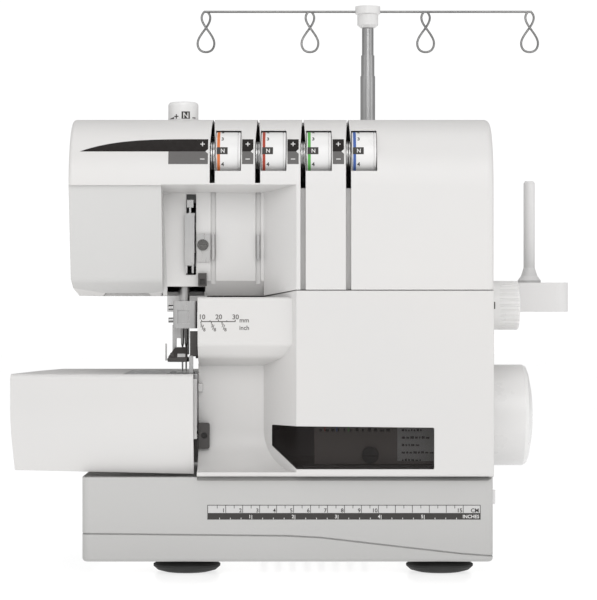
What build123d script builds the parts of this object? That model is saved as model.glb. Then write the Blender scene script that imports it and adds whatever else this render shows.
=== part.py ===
"""Serger overlock machine, in millimetres, +Z up.

The origin is under the middle of the machine, on the surface that it stands on.
X runs along the machine's width, and the operator sits on the -Y side.
"""

from build123d import *
import math
import os

os.makedirs("parts", exist_ok=True)

# Body envelope
FRONT_Y = -140.0
BACK_Y = 72.0
HEAD_BACK_Y = 20.0
HEAD_LEFT_X = -141.5
COLUMN_LEFT_X = -62.0
RIGHT_X = 108.5
TOP_Z = 270.5
BROW_Z = 229.8
HEAD_BOTTOM_Z = 164.5
SEAM_Z = 168.0
BROW_RADIUS = TOP_Z - BROW_Z
BACK_RADIUS = 26.0
WALL = 2.5
REAR_SCREWS = [(-48, 75), (95, 75), (-48, 225), (95, 225)]

# Base
BASE_LEFT_X = -134.0
BASE_FRONT_Y = -134.0
BASE_BOTTOM_Z = 7.6
DECK_Z = 57.5
BASE_CORNER = 4.0
FOOT_X = (-73.0, 78.0)
FOOT_Y = (-112.0, 48.0)
FOOT_RADIUS = 20.0

# Thread recess in the head
RECESS_LEFT_X = -87.0
RECESS_RIGHT_X = -27.0
RECESS_FLOOR_Y = -118.0
RECESS_FRONT_X = -7.6
RECESS_CEILING_Z = 225.7
RECESS_FOOT_Z = 173.5

# Tension dials and their thread slots
DIAL_PITCH = 26.7
DIAL_CENTRES_X = [-47.7 + DIAL_PITCH * i for i in range(4)]
SLOT_CENTRES_X = [-57.0 + DIAL_PITCH * i for i in range(4)]
SLOT_HALF = 1.5
DRUM_Y = -123.0
DRUM_Z = 247.5
DRUM_RADIUS = 14.0
DRUM_WIDTH = 14.4
WINDOW_Z = (237.9, 262.4)
WINDOW_GAP = 0.35
SLOT_TAPER_Z = 254.0
SLOT_TIP_HALF = 0.4
GROOVE_DEPTH = 4.5

# Front cover and its hinge
COVER_BOTTOM_Z = 58.3
COVER_TOP_Z = 167.55
COVER_WALL = 2.6
COVER_BACK_Y = -134.3
HINGE_Y = -136.0
HINGE_Z = 60.8
TONGUE_LEFT_X = -65.7
TONGUE_RIGHT_X = -9.5
TONGUE_FRONT_Y = -137.0
COVE_WALL_Y = -115.5
COVE_RADIUS = 24.5
COVE_LEFT_X = -66.0
COVER_EARS_X = (-2.0, 92.0)
SEAM_GAP = 0.45
SEAM_GROOVE = 0.8
WINDOW_CORNER = 0.8
PANE_SETBACK = 0.9

# Free arm
ARM_COVER_LEFT_X = -175.5
ARM_COVER_RIGHT_X = -68.2
ARM_COVER_BACK_Y = -20.0
ARM_BELLY_Z = 88.0
ARM_LEAN = 0.41
BED_Z = 118.5
PLATE_LEFT_X = -109.0
PLATE_RIGHT_X = -66.3
PLATE_FRONT_Y = -137.2
PLATE_BACK_Y = -60.0
PLATE_THICKNESS = 3.0
PLATE_SCREWS = [(-100, -128), (-100, -68)]
MAIN_DOG_Y = (-102.0, -84.0)
FRONT_DOG_Y = (-127.0, -115.5)
FEED_SLOTS = [
    (-83.4, -80.6, MAIN_DOG_Y),
    (-71.6, -69.2, MAIN_DOG_Y),
    (-83.4, -80.6, FRONT_DOG_Y),
    (-78.2, -75.6, FRONT_DOG_Y),
]

# Needle and presser mechanism
NEEDLE_X = -74.7
NEEDLE_Y = -108.0
NEEDLE_BAR_RADIUS = 3.1
PRESSER_X = -75.9
PRESSER_Y = -94.0
PRESSER_RADIUS = 3.0
FOOT_SOLE_Z = 125.2
FOOT_PIVOT = (-97.0, 131.5)
LIFTER_X = -70.0
LIFTER_Z = 194.0
LIFTER_RADIUS = 3.5
KNIFE_PIVOT = (-64.0, 131.0)
UPPER_LOOPER_PIVOT = (-70.0, 88.0)
LOWER_LOOPER_PIVOT = (-74.0, 71.0)

# Drive
SHAFT_Y = -50.0
SHAFT_Z = 90.5
SHAFT_RADIUS = 5.0
MOTOR_Y = 20.0
MOTOR_Z = 42.0
PULLEY_RADIUS = 28.0
MOTOR_PULLEY_RADIUS = 7.0
PULLEY_X = (90.0, 98.0)
RUNNING_GAP = 0.05

# Side controls
WHEEL_RADIUS = 31.3
SIDE_DIAL_Z = 158.7
STITCH_DIAL_Y = -65.0
FEED_DIAL_Y = -24.0
SWITCH_Y = -105.0
SWITCH_Z = 44.0
ROCKER_RADIUS = 6.05
INLET_Y = -74.0
INLET_Z = 40.0

# Spool stand and thread mast
STAND_LEFT_X = -95.0
STAND_RIGHT_X = 175.5
STAND_FRONT_Y = 76.0
STAND_BACK_Y = 140.0
STAND_Z = (154.1, 173.7)
MAST_X = 41.0
MAST_Y = 105.0
THREAD_OFFSETS = (-110.5, -39.5, 39.5, 110.5)
PIN_RADIUS = 3.85
PIN_TOP_Z = 243.3
GUIDE_ROD_Z = 358.8
GUIDE_ROD_RADIUS = 0.8
GUIDE_WIRE_RADIUS = 0.75
MAST_TOP_Z = 362.3


def block(x, y, z):
    """Box between the given (low, high) pairs."""
    size = (x[1] - x[0], y[1] - y[0], z[1] - z[0])
    middle = ((x[0] + x[1]) / 2, (y[0] + y[1]) / 2, (z[0] + z[1]) / 2)
    return Pos(*middle) * Box(*size)


def rod_x(x, y, z, radius):
    """Cylinder along X between the pair x."""
    return Pos((x[0] + x[1]) / 2, y, z) * Rot(0, 90, 0) * Cylinder(radius, x[1] - x[0])


def rod_y(x, y, z, radius):
    """Cylinder along Y between the pair y."""
    return Pos(x, (y[0] + y[1]) / 2, z) * Rot(90, 0, 0) * Cylinder(radius, y[1] - y[0])


def rod_z(x, y, z, radius):
    """Cylinder along Z between the pair z."""
    return Pos(x, y, (z[0] + z[1]) / 2) * Cylinder(radius, z[1] - z[0])


def sketch_plane(axis, at):
    """Plane square to an axis, with the two other axes in X, Y, Z order."""
    if axis == "X":
        return Plane(origin=(at, 0, 0), x_dir=(0, 1, 0), z_dir=(1, 0, 0))
    if axis == "Y":
        return Plane(origin=(0, at, 0), x_dir=(1, 0, 0), z_dir=(0, -1, 0))
    return Plane(origin=(0, 0, at), x_dir=(1, 0, 0), z_dir=(0, 0, 1))


def outline(points, radii=0.0):
    """Face inside a closed outline whose corners are rounded."""
    if radii == 0.0:
        return make_face(Polyline(*points, close=True))
    return make_face(FilletPolyline(*points, radius=radii, close=True))


def prism(axis, points, span, radii=0.0):
    """Solid with the given outline between the two places of span on the axis."""
    direction = {"X": (1, 0, 0), "Y": (0, 1, 0), "Z": (0, 0, 1)}[axis]
    face = sketch_plane(axis, span[0]) * outline(points, radii)
    return extrude(face, amount=span[1] - span[0], dir=direction)


def rectangle(low, high):
    """Corner points of a rectangle."""
    return [low, (high[0], low[1]), high, (low[0], high[1])]


def turned(points, axis_point, axis="Z"):
    """Solid of revolution: points are (radius, place along the axis)."""
    face = make_face(Polyline(*[(r, 0, h) for r, h in points], close=True))
    solid = revolve(face, Axis.Z)
    if axis == "X":
        solid = Rot(0, 90, 0) * solid
    return Pos(*axis_point) * solid


def side_edges(solid, x_place, y_limit):
    """Edges in the side plane X = x_place that are in front of y_limit and not at the bottom."""
    low = solid.bounding_box().min.Z
    flat = [e for e in solid.edges() if abs(e.bounding_box().min.X - x_place) < 0.01]
    flat = [e for e in flat if abs(e.bounding_box().max.X - x_place) < 0.01]
    flat = [e for e in flat if e.center().Y < y_limit]
    return [e for e in flat if e.bounding_box().max.Z > low + 0.5]


def recess_tool(inset):
    """Hollow in front of the thread recess; an inset grows it by the wall."""
    plan = [
        (RECESS_LEFT_X - inset, FRONT_Y - 10),
        (RECESS_LEFT_X - inset, RECESS_FLOOR_Y + inset),
        (RECESS_RIGHT_X + 0.4 * inset, RECESS_FLOOR_Y + inset),
        (RECESS_FRONT_X + 1.3 * inset, FRONT_Y),
        (RECESS_FRONT_X + 1.3 * inset, FRONT_Y - 10),
    ]
    side = [
        (FRONT_Y - 10, 0),
        (FRONT_Y - 10, BROW_Z + inset),
        (FRONT_Y, BROW_Z + inset),
        (RECESS_FLOOR_Y + inset, RECESS_CEILING_Z + inset),
        (RECESS_FLOOR_Y + inset, 0),
    ]
    return prism("Z", plan, (0, TOP_Z)) & prism("X", side, (HEAD_LEFT_X, RIGHT_X))


def head_lean_tool(inset):
    """What is cut off the head's left front so that it leans back towards the bottom."""
    side = [
        (FRONT_Y - 10, HEAD_BOTTOM_Z - 5),
        (FRONT_Y - 10, BROW_Z - 0.4),
        (FRONT_Y + 2 + inset, BROW_Z - 0.4),
        (FRONT_Y + 17 + inset, HEAD_BOTTOM_Z + 9 + 0.3 * inset),
        (FRONT_Y + 24 + inset, HEAD_BOTTOM_Z + inset),
        (FRONT_Y + 24 + inset, HEAD_BOTTOM_Z - 5),
    ]
    return prism("X", side, (HEAD_LEFT_X - 5, RECESS_LEFT_X - inset), radii=[0, 0, 0, 8, 1.5, 0])


def head_corner_tool(inset):
    """What is cut off the head's lower left corner."""
    x, z = HEAD_LEFT_X + inset, HEAD_BOTTOM_Z + inset
    corner = [(x - 9, z - 9), (x + 4.6, z - 9), (x + 4.6, z)]
    corner += [(x + 1.2, z + 4.5), (x, z + 10), (x - 9, z + 10)]
    return prism("Y", corner, (FRONT_Y - 5, BACK_Y))


def body_solid(inset):
    """Body above the base; a positive inset gives the space inside the wall."""
    y0, y1 = FRONT_Y + inset, BACK_Y - inset
    side = [(y0, DECK_Z), (y0, TOP_Z - inset), (y1, TOP_Z - inset), (y1, DECK_Z)]
    span = (HEAD_LEFT_X + inset, RIGHT_X - inset)
    solid = prism("X", side, span, radii=[0, BROW_RADIUS - inset, BACK_RADIUS - inset, 0])
    if inset == 0:
        solid = fillet(side_edges(solid, RIGHT_X, BACK_Y + 1), 3.5)
        solid = fillet(side_edges(solid, HEAD_LEFT_X, BACK_Y + 1), 2)
    far = (HEAD_LEFT_X - 5, COLUMN_LEFT_X + inset)
    solid -= block(far, (FRONT_Y - 5, BACK_Y + 5), (DECK_Z - 1, HEAD_BOTTOM_Z + inset))
    solid -= block(far, (HEAD_BACK_Y - inset, BACK_Y + 5), (DECK_Z - 1, TOP_Z + 1))
    solid -= head_lean_tool(inset)
    solid -= head_corner_tool(inset)
    solid -= recess_tool(inset)
    return solid


def above_seam():
    """Space above the line where the upper housing ends."""
    points = [
        (HEAD_LEFT_X - 5, HEAD_BOTTOM_Z),
        (RECESS_RIGHT_X, HEAD_BOTTOM_Z),
        (RECESS_FRONT_X, SEAM_Z),
        (RIGHT_X + 5, SEAM_Z),
        (RIGHT_X + 5, TOP_Z + 5),
        (HEAD_LEFT_X - 5, TOP_Z + 5),
    ]
    return prism("Y", points, (FRONT_Y - 5, HEAD_BACK_Y))


def thread_slot_cuts():
    """Slots over the brow that narrow towards the top, and the grooves below them."""
    cuts = []
    for place in SLOT_CENTRES_X:
        slot = [
            (place - SLOT_HALF, BROW_Z + 0.9),
            (place + SLOT_HALF, BROW_Z + 0.9),
            (place + SLOT_HALF, SLOT_TAPER_Z),
            (place + SLOT_TIP_HALF, TOP_Z + 1),
            (place - SLOT_TIP_HALF, TOP_Z + 1),
            (place - SLOT_HALF, SLOT_TAPER_Z),
        ]
        cuts.append(prism("Y", slot, (FRONT_Y - 5, -78)))
        outside = place > RECESS_FRONT_X
        floor = FRONT_Y if outside else RECESS_FLOOR_Y
        depth = GROOVE_DEPTH if outside else 1.3
        across = (place - SLOT_HALF, place + SLOT_HALF)
        cuts.append(block(across, (floor - 2, floor + depth), (HEAD_BOTTOM_Z - 1, BROW_Z + 1)))
    return cuts


def groove_ribs():
    """Ribs inside the front wall that hold the deep grooves of the two right slots."""
    ribs = []
    for place in SLOT_CENTRES_X:
        if place > RECESS_FRONT_X:
            across = (place - SLOT_HALF - 1.5, place + SLOT_HALF + 1.5)
            deep = (FRONT_Y + WALL - 0.5, FRONT_Y + GROOVE_DEPTH + 1.5)
            ribs.append(block(across, deep, (SEAM_Z, BROW_Z - 2)))
    return ribs


def recess_foot_tool():
    """What is cut off the foot of the recess so that it leans back under the head."""
    side = [
        (RECESS_FLOOR_Y - 1, RECESS_FOOT_Z),
        (RECESS_FLOOR_Y, RECESS_FOOT_Z),
        (RECESS_FLOOR_Y + 6.5, HEAD_BOTTOM_Z),
        (RECESS_FLOOR_Y + 6.5, HEAD_BOTTOM_Z - 1),
        (RECESS_FLOOR_Y - 1, HEAD_BOTTOM_Z - 1),
    ]
    return prism("X", side, (COLUMN_LEFT_X, RECESS_RIGHT_X))


def upper_housing(shell):
    """Top and head of the casing, with the recess, the slots and the dial windows."""
    housing = shell & above_seam()
    for rib in groove_ribs():
        housing += rib
    behind_foot = (RECESS_FLOOR_Y + 1.5, RECESS_FLOOR_Y + 9)
    housing += block((COLUMN_LEFT_X, RECESS_RIGHT_X), behind_foot, (HEAD_BOTTOM_Z, RECESS_FOOT_Z + 2))
    housing -= recess_foot_tool()
    for cut in thread_slot_cuts():
        housing -= cut
    lamp_gap = [(-124, HEAD_BOTTOM_Z - 1), (-121.5, 166.0), (-95.5, 166.0), (-93, HEAD_BOTTOM_Z - 1)]
    housing -= prism("Y", lamp_gap, (FRONT_Y, -108))
    for place in DIAL_CENTRES_X:
        window = (place - DRUM_WIDTH / 2 - WINDOW_GAP, place + DRUM_WIDTH / 2 + WINDOW_GAP)
        housing -= block(window, (FRONT_Y - 5, DRUM_Y + 5), WINDOW_Z)
    housing -= block((-73.1, -67.3), (RECESS_FLOOR_Y - 1, RECESS_FLOOR_Y + 4), (177.0, 225.0))
    housing -= block((-88, -62.4), (RECESS_FLOOR_Y + 1, -86), (160, HEAD_BOTTOM_Z + WALL + 1))
    housing -= block((-84.4, -61.6), (-125, RECESS_FLOOR_Y + 4), (160, HEAD_BOTTOM_Z + 5.5))
    housing -= block((-112, -92), (-100, -70), (160, HEAD_BOTTOM_Z + WALL + 1))
    housing -= rod_z(PRESSER_X, PRESSER_Y - 1, (TOP_Z - 8, TOP_Z + 5), 9.6)
    housing -= rod_y(LIFTER_X, (HEAD_BACK_Y - 5, HEAD_BACK_Y + 2), LIFTER_Z, LIFTER_RADIUS + RUNNING_GAP)
    return housing.solid()


def rear_housing(shell):
    """Back cover of the column, with cooling slots and recesses for its screws."""
    behind = block((-70, RIGHT_X + 5), (HEAD_BACK_Y, BACK_Y + 5), (DECK_Z, TOP_Z + 5))
    housing = shell & behind
    for row in range(7):
        low = 96 + 8 * row
        housing -= block((50, 90), (BACK_Y - 5, BACK_Y + 5), (low, low + 3.5))
    for x, z in REAR_SCREWS:
        housing -= rod_y(x, (BACK_Y - 1.2, BACK_Y + 2), z, 4.2)
    return housing.solid()



def base_outline(inset):
    """Rounded plan of the base."""
    low = (BASE_LEFT_X + inset, BASE_FRONT_Y + inset)
    high = (RIGHT_X - inset, BACK_Y - inset)
    return rectangle(low, high)


def base_solid(inset):
    """Base block; a positive inset gives its inside."""
    span = (BASE_BOTTOM_Z + inset, DECK_Z - inset)
    return prism("Z", base_outline(inset), span, radii=BASE_CORNER - 0.6 * inset)


def below_tray_seam():
    """Space below the sloping line between the tray and the lower housing."""
    points = [
        (BASE_LEFT_X - 5, 0),
        (RIGHT_X + 5, 0),
        (RIGHT_X + 5, 11.1),
        (89.5, 12.9),
        (48, 17.6),
        (6.4, 22.4),
        (-14, 23.4),
        (BASE_LEFT_X - 5, 24.7),
    ]
    radii = [0, 0, 0, 40, 40, 40, 40, 0]
    return prism("Y", points, (BASE_FRONT_Y - 5, BACK_Y + 5), radii=radii)


def base_tray():
    """Bottom tray with air slots and seats for the feet."""
    outer = base_solid(0)
    rim = outer.edges().group_by(Axis.Z)[0]
    outer = fillet(rim, 2.2)
    tray = (outer - base_solid(WALL)) & below_tray_seam()
    band = below_tray_seam() - Pos(0, 0, -SEAM_GROOVE) * below_tray_seam()
    tray -= (base_solid(0) - base_solid(SEAM_GROOVE)) & band
    for step in range(8):
        low = -30 + 9 * step
        tray -= block((low, low + 4), (-60, -10), (0, BASE_BOTTOM_Z + WALL + 1))
    return tray.solid()


def lower_housing(shell):
    """Base walls and deck, with the sides of the column up to the seam."""
    base = base_solid(0) - base_solid(WALL) - below_tray_seam()
    base -= block((-55, 102), (-100, 62), (DECK_Z - WALL - 1, DECK_Z + 1))
    nose = [
        (BASE_FRONT_Y - 1, DECK_Z - 3),
        (BASE_FRONT_Y + 2, DECK_Z),
        (BASE_FRONT_Y - 1, DECK_Z + 1),
    ]
    base -= prism("X", nose, (COLUMN_LEFT_X - 4, RIGHT_X + 1))
    below = block((-70, RIGHT_X + 5), (BASE_FRONT_Y + 0.3, HEAD_BACK_Y), (DECK_Z, SEAM_Z))
    sides = (shell & below) - above_seam()
    sides -= block((-70, RIGHT_X - 5), (-150, -84), (DECK_Z, SEAM_Z + 1))
    housing = base + sides
    right = (RIGHT_X - 5, RIGHT_X + 2)
    housing -= rod_x(right, SHAFT_Y, SHAFT_Z, 7)
    housing -= rod_x((COLUMN_LEFT_X - 1, COLUMN_LEFT_X + 4), *KNIFE_PIVOT, 4)
    housing -= rod_x(right, STITCH_DIAL_Y, SIDE_DIAL_Z, 4)
    housing -= rod_x(right, FEED_DIAL_Y, SIDE_DIAL_Z, 4)
    housing -= block(right, (SWITCH_Y - 8, SWITCH_Y + 8), (SWITCH_Z - 7, SWITCH_Z + 7))
    housing -= block(right, (INLET_Y - 14, INLET_Y + 14), (INLET_Z - 10, INLET_Z + 10))
    housing -= block((COLUMN_LEFT_X - 1, COLUMN_LEFT_X + 4), (-84.5, -52), (68, 113))
    return housing.solid()


def cover_window_outline():
    """Window outline on the front cover, with its cut lower left corner."""
    return [(-22.0, 88.0), (-22.0, 75.5), (-7.3, 62.6), (73.4, 62.6), (73.4, 87.0)]


def cover_wall(thickness):
    """Wall of the cover: flat front, slanted step and the cove wall beside the free arm."""
    run, rise = RECESS_RIGHT_X - RECESS_FRONT_X, COVE_WALL_Y - FRONT_Y
    length = math.hypot(run, rise)
    shift = thickness * (length + run) / rise
    plan = [
        (RIGHT_X, FRONT_Y),
        (RECESS_FRONT_X, FRONT_Y),
        (RECESS_RIGHT_X, COVE_WALL_Y),
        (COVE_LEFT_X, COVE_WALL_Y),
        (COVE_LEFT_X, COVE_WALL_Y + thickness),
        (RECESS_RIGHT_X + shift, COVE_WALL_Y + thickness),
        (RECESS_FRONT_X + shift, FRONT_Y + thickness),
        (RIGHT_X, FRONT_Y + thickness),
    ]
    return prism("Z", plan, (COVER_BOTTOM_Z, COVER_TOP_Z))


def tongue_solid(inset):
    """Bulge of the cover that carries the small ruler; the inset gives its inside."""
    back = COVE_WALL_Y + COVER_WALL
    side = [
        (TONGUE_FRONT_Y + inset, 164.0 - inset),
        (TONGUE_FRONT_Y + inset, 136.0 + 0.5 * inset),
        (TONGUE_FRONT_Y + 7 + inset, 128.0 + inset),
        (back, 122.0 + inset),
        (back, 161.0 - inset),
    ]
    span = (TONGUE_LEFT_X + inset, TONGUE_RIGHT_X - inset)
    return prism("X", side, span, radii=[2.0, 5.0, 9.0, 0, 0])


def front_cover():
    """Looper cover: one moulding that slides right and then folds down."""
    cover = cover_wall(COVER_WALL)
    left = COVE_LEFT_X - 1
    above_step = [
        (left, 161.0),
        (RECESS_RIGHT_X, 161.0),
        (RECESS_RIGHT_X, HEAD_BOTTOM_Z - SEAM_GAP - 0.2),
        (RECESS_FRONT_X, COVER_TOP_Z),
        (RECESS_FRONT_X, COVER_TOP_Z + 1),
        (left, COVER_TOP_Z + 1),
    ]
    cover -= prism("Y", above_step, (FRONT_Y - 1, -100))
    cover -= block((left, -26.5), (FRONT_Y - 1, -100), (124.0, COVER_TOP_Z + 1))
    centre = (FRONT_Y, COVER_BOTTOM_Z + COVE_RADIUS + COVER_WALL)
    full = rod_x((COVE_LEFT_X, RECESS_FRONT_X + 2), *centre, COVE_RADIUS + COVER_WALL)
    cove = full - rod_x((COVE_LEFT_X - 1, RIGHT_X), *centre, COVE_RADIUS)
    cover -= rod_x((COVE_LEFT_X - 1, RECESS_RIGHT_X), *centre, COVE_RADIUS)
    cover += cove & block((COVE_LEFT_X, RECESS_FRONT_X + 2), (FRONT_Y, -110), (50, centre[1]))
    cover -= block((left, RECESS_RIGHT_X + 8), (COVE_WALL_Y - 3, -105), (50, 66))
    cover += tongue_solid(0) - tongue_solid(2.4)
    cover += block((COVE_LEFT_X, COVE_LEFT_X + 2.6), (COVE_WALL_Y - 3, COVE_WALL_Y + 1), (107.6, 112.2))
    right_wall_z = (HINGE_Z + 1.7, COVER_TOP_Z)
    cover += block((RIGHT_X - WALL, RIGHT_X), (FRONT_Y, COVER_BACK_Y), right_wall_z)
    edge = [
        (FRONT_Y - 1, COVER_BOTTOM_Z - 1),
        (FRONT_Y + 2, COVER_BOTTOM_Z - 1),
        (FRONT_Y - 1, COVER_BOTTOM_Z + 2),
    ]
    cover -= prism("X", edge, (left, RIGHT_X + 1))
    cover -= prism("Y", cover_window_outline(), (FRONT_Y - 5, -112), radii=WINDOW_CORNER)
    for place in COVER_EARS_X:
        ear = block((place, place + 3), (FRONT_Y + 1, HINGE_Y), (HINGE_Z - 1.6, HINGE_Z + 1.6))
        ear += rod_x((place, place + 3), HINGE_Y, HINGE_Z, 1.6)
        cover += ear
        cover -= rod_x((place - 1, place + 4), HINGE_Y, HINGE_Z, 1.0 + RUNNING_GAP)
    return cover.solid()


def front_cover_window():
    """Smoky panel set back in the cover, following its slanted step."""
    pane = prism("Y", cover_window_outline(), (FRONT_Y - 5, -112), radii=WINDOW_CORNER)
    return (Pos(0, PANE_SETBACK, 0) * cover_wall(1.6) & pane).solid()


def front_cover_carriage():
    """Bar that slides on the deck and carries the cover's hinge pins."""
    carriage = block((-4, 96), (-131, -126), (DECK_Z + 0.3, 64))
    for place in COVER_EARS_X:
        near = (place + 3.4, place + 6)
        carriage += block(near, (HINGE_Y, -130), (HINGE_Z - 1.1, HINGE_Z + 1.1))
        carriage += rod_x(near, HINGE_Y, HINGE_Z, 1.1)
        carriage += rod_x((place, near[0] + 0.1), HINGE_Y, HINGE_Z, 1.0)
    return carriage.solid()


def arm_cover_solid(inset):
    """Free arm cover's outer shape; the inset gives its inside, open below and to the right."""
    low = 40.0 if inset else 59.0
    run = ARM_LEAN * (ARM_BELLY_Z - low)
    side = [
        (FRONT_Y + run + inset, low),
        (FRONT_Y + inset, ARM_BELLY_Z),
        (FRONT_Y + inset, BED_Z - inset),
        (ARM_COVER_BACK_Y - inset, BED_Z - inset),
        (ARM_COVER_BACK_Y - inset, low),
    ]
    shape = prism("X", side, (ARM_COVER_LEFT_X - 5, -40), radii=[0, 60.0, 3.0, 3.0, 0])
    right = ARM_COVER_RIGHT_X if inset == 0 else ARM_COVER_RIGHT_X + 5
    plan = [
        (right, FRONT_Y - 5),
        (ARM_COVER_LEFT_X + inset, FRONT_Y - 5),
        (ARM_COVER_LEFT_X + inset, FRONT_Y),
        (ARM_COVER_LEFT_X + 10 + inset, -70),
        (ARM_COVER_LEFT_X + 21 + inset, ARM_COVER_BACK_Y),
        (ARM_COVER_LEFT_X + 21 + inset, ARM_COVER_BACK_Y + 5),
        (right, ARM_COVER_BACK_Y + 5),
    ]
    return shape & prism("Z", plan, (30, BED_Z + 1), radii=[0, 0, 1, 90, 1, 0, 0])


def free_arm_cover():
    """Removable cover round the free arm."""
    cover = arm_cover_solid(0) - arm_cover_solid(2.2)
    plate = ((PLATE_LEFT_X - 0.4, -60), (PLATE_FRONT_Y - 0.3, PLATE_BACK_Y + 0.4))
    cover -= block(*plate, (BED_Z - 6, BED_Z + 1))
    bottom = [(-180, 55), (-60, 55), (-60, 58.9), (-180, 61.6)]
    cover -= prism("Y", bottom, (FRONT_Y - 5, -10))
    return cover.solid()


def free_arm_housing():
    """Fixed arm inside the cover, open on top under the needle plate."""
    arm = block((-150, COLUMN_LEFT_X), (-133, -50), (80, BED_Z - PLATE_THICKNESS))
    arm -= block((-147.5, -50), (-130.5, -52.5), (82.5, 112.9))
    arm -= block((-104, -50), (-130.5, -66), (100, BED_Z))
    arm -= block((-66.4, -50), (-140, -111.5), (60, BED_Z))
    return arm.solid()


def needle_plate():
    """Steel plate with slots for the needles, the feed dogs and the knives."""
    plan = [
        (PLATE_LEFT_X, PLATE_FRONT_Y),
        (PLATE_RIGHT_X - 2, PLATE_FRONT_Y),
        (PLATE_RIGHT_X - 2, -111.0),
        (PLATE_RIGHT_X, -111.0),
        (PLATE_RIGHT_X, PLATE_BACK_Y),
        (PLATE_LEFT_X, PLATE_BACK_Y),
    ]
    plate = prism("Z", plan, (BED_Z - PLATE_THICKNESS, BED_Z - 0.1))
    deep = (BED_Z - 5, BED_Z + 1)
    plate -= block((-77.2, -72.2), (-110.5, -105.5), deep)
    for low, high, y_span in FEED_SLOTS:
        plate -= block((low - 0.5, high + 0.5), (y_span[0] - 2.6, y_span[1] + 2.6), deep)
    plate -= block((-72.0, -60), (-127, -112), deep)
    for x, y in PLATE_SCREWS:
        plate -= rod_z(x, y, (BED_Z - 1.2, BED_Z + 1), 2.8)
    return plate.solid()


def toothed_bar(x_span, y_span):
    """Feed dog bar with a row of teeth on top."""
    low, top = 109.5, BED_Z - 0.4
    bar = block(x_span, y_span, (low, top - 1.0))
    count = int((y_span[1] - y_span[0]) / 1.5)
    step = (y_span[1] - y_span[0]) / count
    points = [(y_span[0], low + 1), (y_span[0], top - 1.0)]
    for tooth in range(count):
        start = y_span[0] + tooth * step
        points += [(start + step * 0.8, top), (start + step, top - 1.0)]
    points.append((y_span[1], low + 1))
    return bar + prism("X", points, x_span)


def main_feed_dog():
    """Rear feed dog: two toothed bars on one carrier."""
    dog = toothed_bar((-83.4, -80.6), MAIN_DOG_Y)
    dog += toothed_bar((-71.6, -69.2), MAIN_DOG_Y)
    dog += block((-83.4, -69.2), (-88, -84), (109.5, 113.5))
    return dog.solid()


def differential_feed_dog():
    """Front feed dog: two toothed bars on one carrier."""
    dog = toothed_bar((-83.4, -80.6), FRONT_DOG_Y)
    dog += toothed_bar((-78.2, -75.6), FRONT_DOG_Y)
    dog += block((-83.4, -75.6), (-127, -122), (109.5, 113.5))
    return dog.solid()


def rubber_feet():
    """Four round feet with domed undersides."""
    points = [(0, 0), (13, 0), (17.5, 1.2), (FOOT_RADIUS, 3.4)]
    points += [(FOOT_RADIUS, 4.6), (15, BASE_BOTTOM_Z), (0, BASE_BOTTOM_Z)]
    return Compound(children=[turned(points, (x, y, 0)).solid() for x in FOOT_X for y in FOOT_Y])


def rear_screw(x, z):
    """Screw head with a cross slot in the back cover."""
    screw = rod_y(x, (BACK_Y - 1.2, BACK_Y + 0.6), z, 4.0)
    screw -= block((x - 2.4, x + 2.4), (BACK_Y - 0.4, BACK_Y + 2), (z - 0.5, z + 0.5))
    screw -= block((x - 0.5, x + 0.5), (BACK_Y - 0.4, BACK_Y + 2), (z - 2.4, z + 2.4))
    return screw.solid()


def plate_screw(x, y):
    """Slotted countersunk screw of the needle plate."""
    screw = rod_z(x, y, (BED_Z - 1.2, BED_Z - 0.2), 2.7)
    screw -= block((x - 3, x + 3), (y - 0.4, y + 0.4), (BED_Z - 0.8, BED_Z))
    return screw.solid()


def tension_dial(centre_x):
    """Numbered tension drum on its axle, with a fine finger rim at its right end."""
    half = DRUM_WIDTH / 2
    dial = rod_x((centre_x - half, centre_x + half), DRUM_Y, DRUM_Z, DRUM_RADIUS)
    dial = fillet(dial.edges(), 0.6)
    rim = rod_x((centre_x + half - 1.6, centre_x + half - 1.2), DRUM_Y, DRUM_Z, DRUM_RADIUS + 1)
    dial -= rim - rod_x((centre_x - half, centre_x + half), DRUM_Y, DRUM_Z, DRUM_RADIUS - 0.3)
    dial -= rod_x((centre_x - half - 1, centre_x + half + 1), DRUM_Y, DRUM_Z, 2.0 + RUNNING_GAP)
    return dial.solid()


def tension_discs():
    """Four axles, each with a pair of dished thread discs behind its slot."""
    parts = []
    for slot, dial in zip(SLOT_CENTRES_X, DIAL_CENTRES_X):
        axle = rod_x((slot - 3.4, dial + DRUM_WIDTH / 2 + 2.4), DRUM_Y, DRUM_Z, 2.0)
        for side in (-1, 1):
            inner, outer = slot + side * 0.25, slot + side * 1.15
            axle += rod_x((min(inner, outer), max(inner, outer)), DRUM_Y, DRUM_Z, 8.5)
        parts.append(axle.solid())
    return Compound(children=parts)


def needle_bar():
    """Needle bar in its two bushings."""
    return rod_z(NEEDLE_X, NEEDLE_Y, (161.4, 245), NEEDLE_BAR_RADIUS).solid()


def needle_clamp():
    """Clamp block with its set screws on the left."""
    clamp = block((-81.3, -67.1), (-113, -103), (145, 161.4))
    clamp = fillet(clamp.edges().filter_by(Axis.Z), 1.5)
    clamp -= block((-78.5, -71.5), (-113.5, -111.8), (148, 156))
    for z in (150.0, 157.5):
        clamp += rod_x((-84.2, -81.2), NEEDLE_Y - 1, z, 1.5)
    return clamp.solid()


def needle(x, y):
    """One needle: thick shank, thin blade and a point."""
    points = [(0, 118.4), (0.5, 121.5), (0.5, 134), (1.0, 136), (1.0, 145), (0, 145)]
    return turned(points, (x, y, 0)).solid()


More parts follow.
